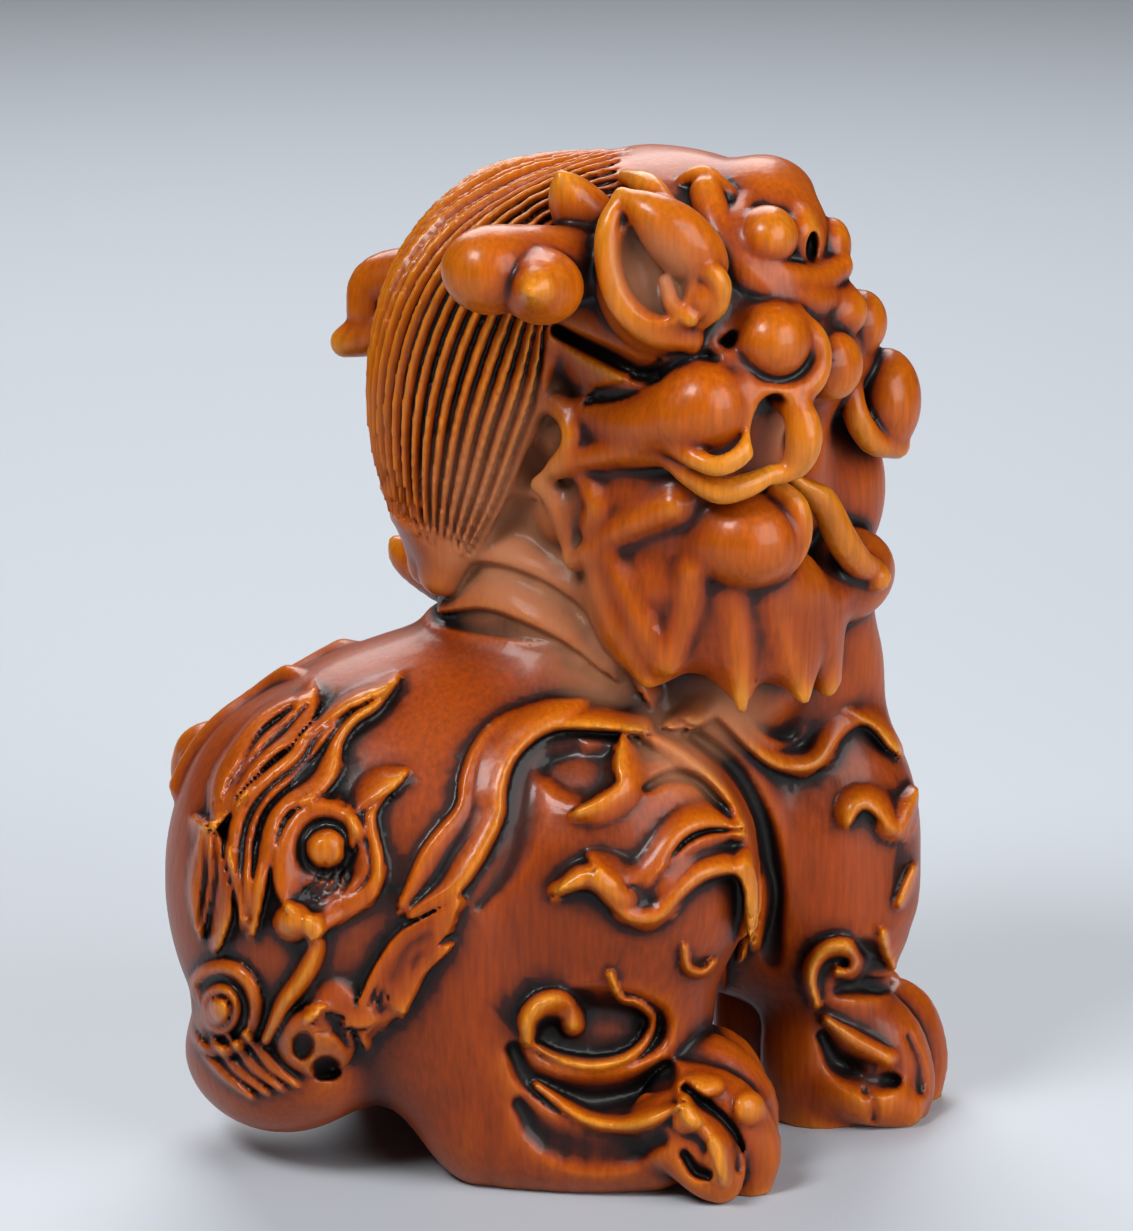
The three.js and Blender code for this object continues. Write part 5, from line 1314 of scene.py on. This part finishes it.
class MESH_OT_qilin_carving(bpy.types.Operator):
    """Carves the qilin from one piece of boxwood and polishes it"""

    bl_idname = "mesh.qilin_carving"
    bl_label = "Qilin Carving"

    def execute(self, context):
        sizes = context.scene.qilin_carving
        clay = shaped_clay(sizes.grain / UNIT)
        corners, faces = skin_of(clay)
        mesh = bpy.data.meshes.new("qilin_carving")
        mesh.from_pydata(corners.tolist(), [], faces.tolist())
        piece = bpy.data.objects.new("qilin_carving", mesh)
        context.scene.collection.objects.link(piece)
        piece = largest_part(piece)
        thinned(piece, sizes.triangles)
        mesh = piece.data
        mesh.shade_smooth()
        points = np.empty(len(mesh.vertices) * 3, np.float32)
        mesh.vertices.foreach_get("co", points)
        points = points.reshape(-1, 3)
        wood = np.clip(0.5 - clay.field / clay.grain, 0, 1)
        # The fine measure gives wear on the edges and painted shade in the grooves; the broad one gives painted shade
        # in the hollows.
        for name, reach, sign in (("edge_wear_and_groove_shade", EDGE_WEAR_AND_GROOVE_SHADE_REACH, -1), ("shade", SHADE_REACH, 1)):
            cells = max(1, round(reach / clay.grain / 2))
            around = clay.sample(blurred(wood, cells), points)
            add_attribute(mesh, name, around if sign > 0 else 1 - around)
        add_attribute(mesh, "dust_and_sheen", dust_and_sheen_at(points))
        placed, middle = seated(to_frame(points))
        mesh.vertices.foreach_set("co", placed.ravel().astype(np.float32))
        mesh.update()
        piece.name = mesh.name = "qilin_carving"
        mesh.materials.clear()
        mesh.materials.append(boxwood(sizes))
        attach(piece, "root")
        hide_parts("qilin")
        context.scene["sight_middle"] = tuple(middle)
        return {"FINISHED"}


def plain_material(name, colour, roughness):
    material = bpy.data.materials.new(name)
    material.use_nodes = True
    shader = material.node_tree.nodes["Principled BSDF"]
    shader.inputs["Base Color"].default_value = colour
    shader.inputs["Roughness"].default_value = roughness
    return material


def soft_light(name, place, target, size, power):
    lamp = bpy.data.lights.new(name, "AREA")
    lamp.size = size
    lamp.energy = power
    light = bpy.data.objects.new(name, lamp)
    light.location = place
    light.rotation_euler = (Vector(target) - Vector(place)).to_track_quat("-Z", "Y").to_euler()
    bpy.context.scene.collection.objects.link(light)


class SCENE_OT_qilin_stage(bpy.types.Operator):
    """Lays a plain floor, soft lights and the camera at the sighting point"""

    bl_idname = "scene.qilin_stage"
    bl_label = "Qilin Stage"

    def execute(self, context):
        sizes = context.scene.qilin_stage
        middle = Vector(context.scene["sight_middle"])

        def place(point):
            return Vector(to_frame([point])[0]) - middle

        bpy.ops.mesh.primitive_plane_add(size=sizes.floor_width)
        floor = context.object
        floor.name = "floor"
        floor.data.materials.append(plain_material("floor_paint", sizes.floor_colour, 0.6))
        world = bpy.data.worlds.new("studio")
        world.use_nodes = True
        background = world.node_tree.nodes["Background"]
        background.inputs[0].default_value = linear("#C4CCD6")
        background.inputs[1].default_value = sizes.sky
        context.scene.world = world
        heart = place((0, 0, 50))
        soft_light("key_light", place((-330, -430, 640)), heart, 0.18, sizes.key_power)
        soft_light("fill_light", place((460, -420, 330)), heart, 0.4, sizes.fill_power)
        soft_light("back_light", place((-60, 520, 560)), heart, 0.4, sizes.fill_power)
        lens = bpy.data.cameras.new("sight")
        camera = bpy.data.objects.new("sight", lens)
        target = place((0, 0, SIGHT_HEIGHT))
        eye = (0, -SIGHT_DISTANCE * COSINE, SIGHT_HEIGHT + SIGHT_DISTANCE * SINE)
        camera.location = place(eye)
        camera.rotation_euler = (target - camera.location).to_track_quat("-Z", "Y").to_euler()
        lens.sensor_fit = "VERTICAL"
        lens.sensor_height = 24
        lens.lens = lens.sensor_height * SIGHT_SCALE / SIGHT_FRAME_DOWN
        lens.clip_start = 0.01
        lens.clip_end = 20
        context.scene.collection.objects.link(camera)
        context.scene.camera = camera
        context.scene.view_settings.view_transform = "Standard"
        return {"FINISHED"}


class VIEW3D_PT_qilin(bpy.types.Panel):
    bl_label = "Qilin Statue"
    bl_idname = "VIEW3D_PT_qilin"
    bl_space_type = "VIEW_3D"
    bl_region_type = "UI"
    bl_category = "Qilin"

    def draw(self, context):
        for group, operator in (("qilin_carving", "mesh.qilin_carving"), ("qilin_stage", "scene.qilin_stage")):
            box = self.layout.box()
            sizes = getattr(context.scene, group)
            for name in sizes.bl_rna.properties.keys():
                if name not in ("rna_type", "name"):
                    box.prop(sizes, name)
            box.operator(operator)


CLASSES = (CarvingSizes, StageSizes, MESH_OT_qilin_carving, SCENE_OT_qilin_stage, VIEW3D_PT_qilin)


def register():
    for item in CLASSES:
        bpy.utils.register_class(item)
    bpy.types.Scene.qilin_carving = PointerProperty(type=CarvingSizes)
    bpy.types.Scene.qilin_stage = PointerProperty(type=StageSizes)


def unregister():
    del bpy.types.Scene.qilin_stage
    del bpy.types.Scene.qilin_carving
    for item in reversed(CLASSES):
        bpy.utils.unregister_class(item)


def main():
    register()
    bpy.ops.mesh.qilin_carving()
    bpy.ops.scene.qilin_stage()


if __name__ == "__main__":
    main()
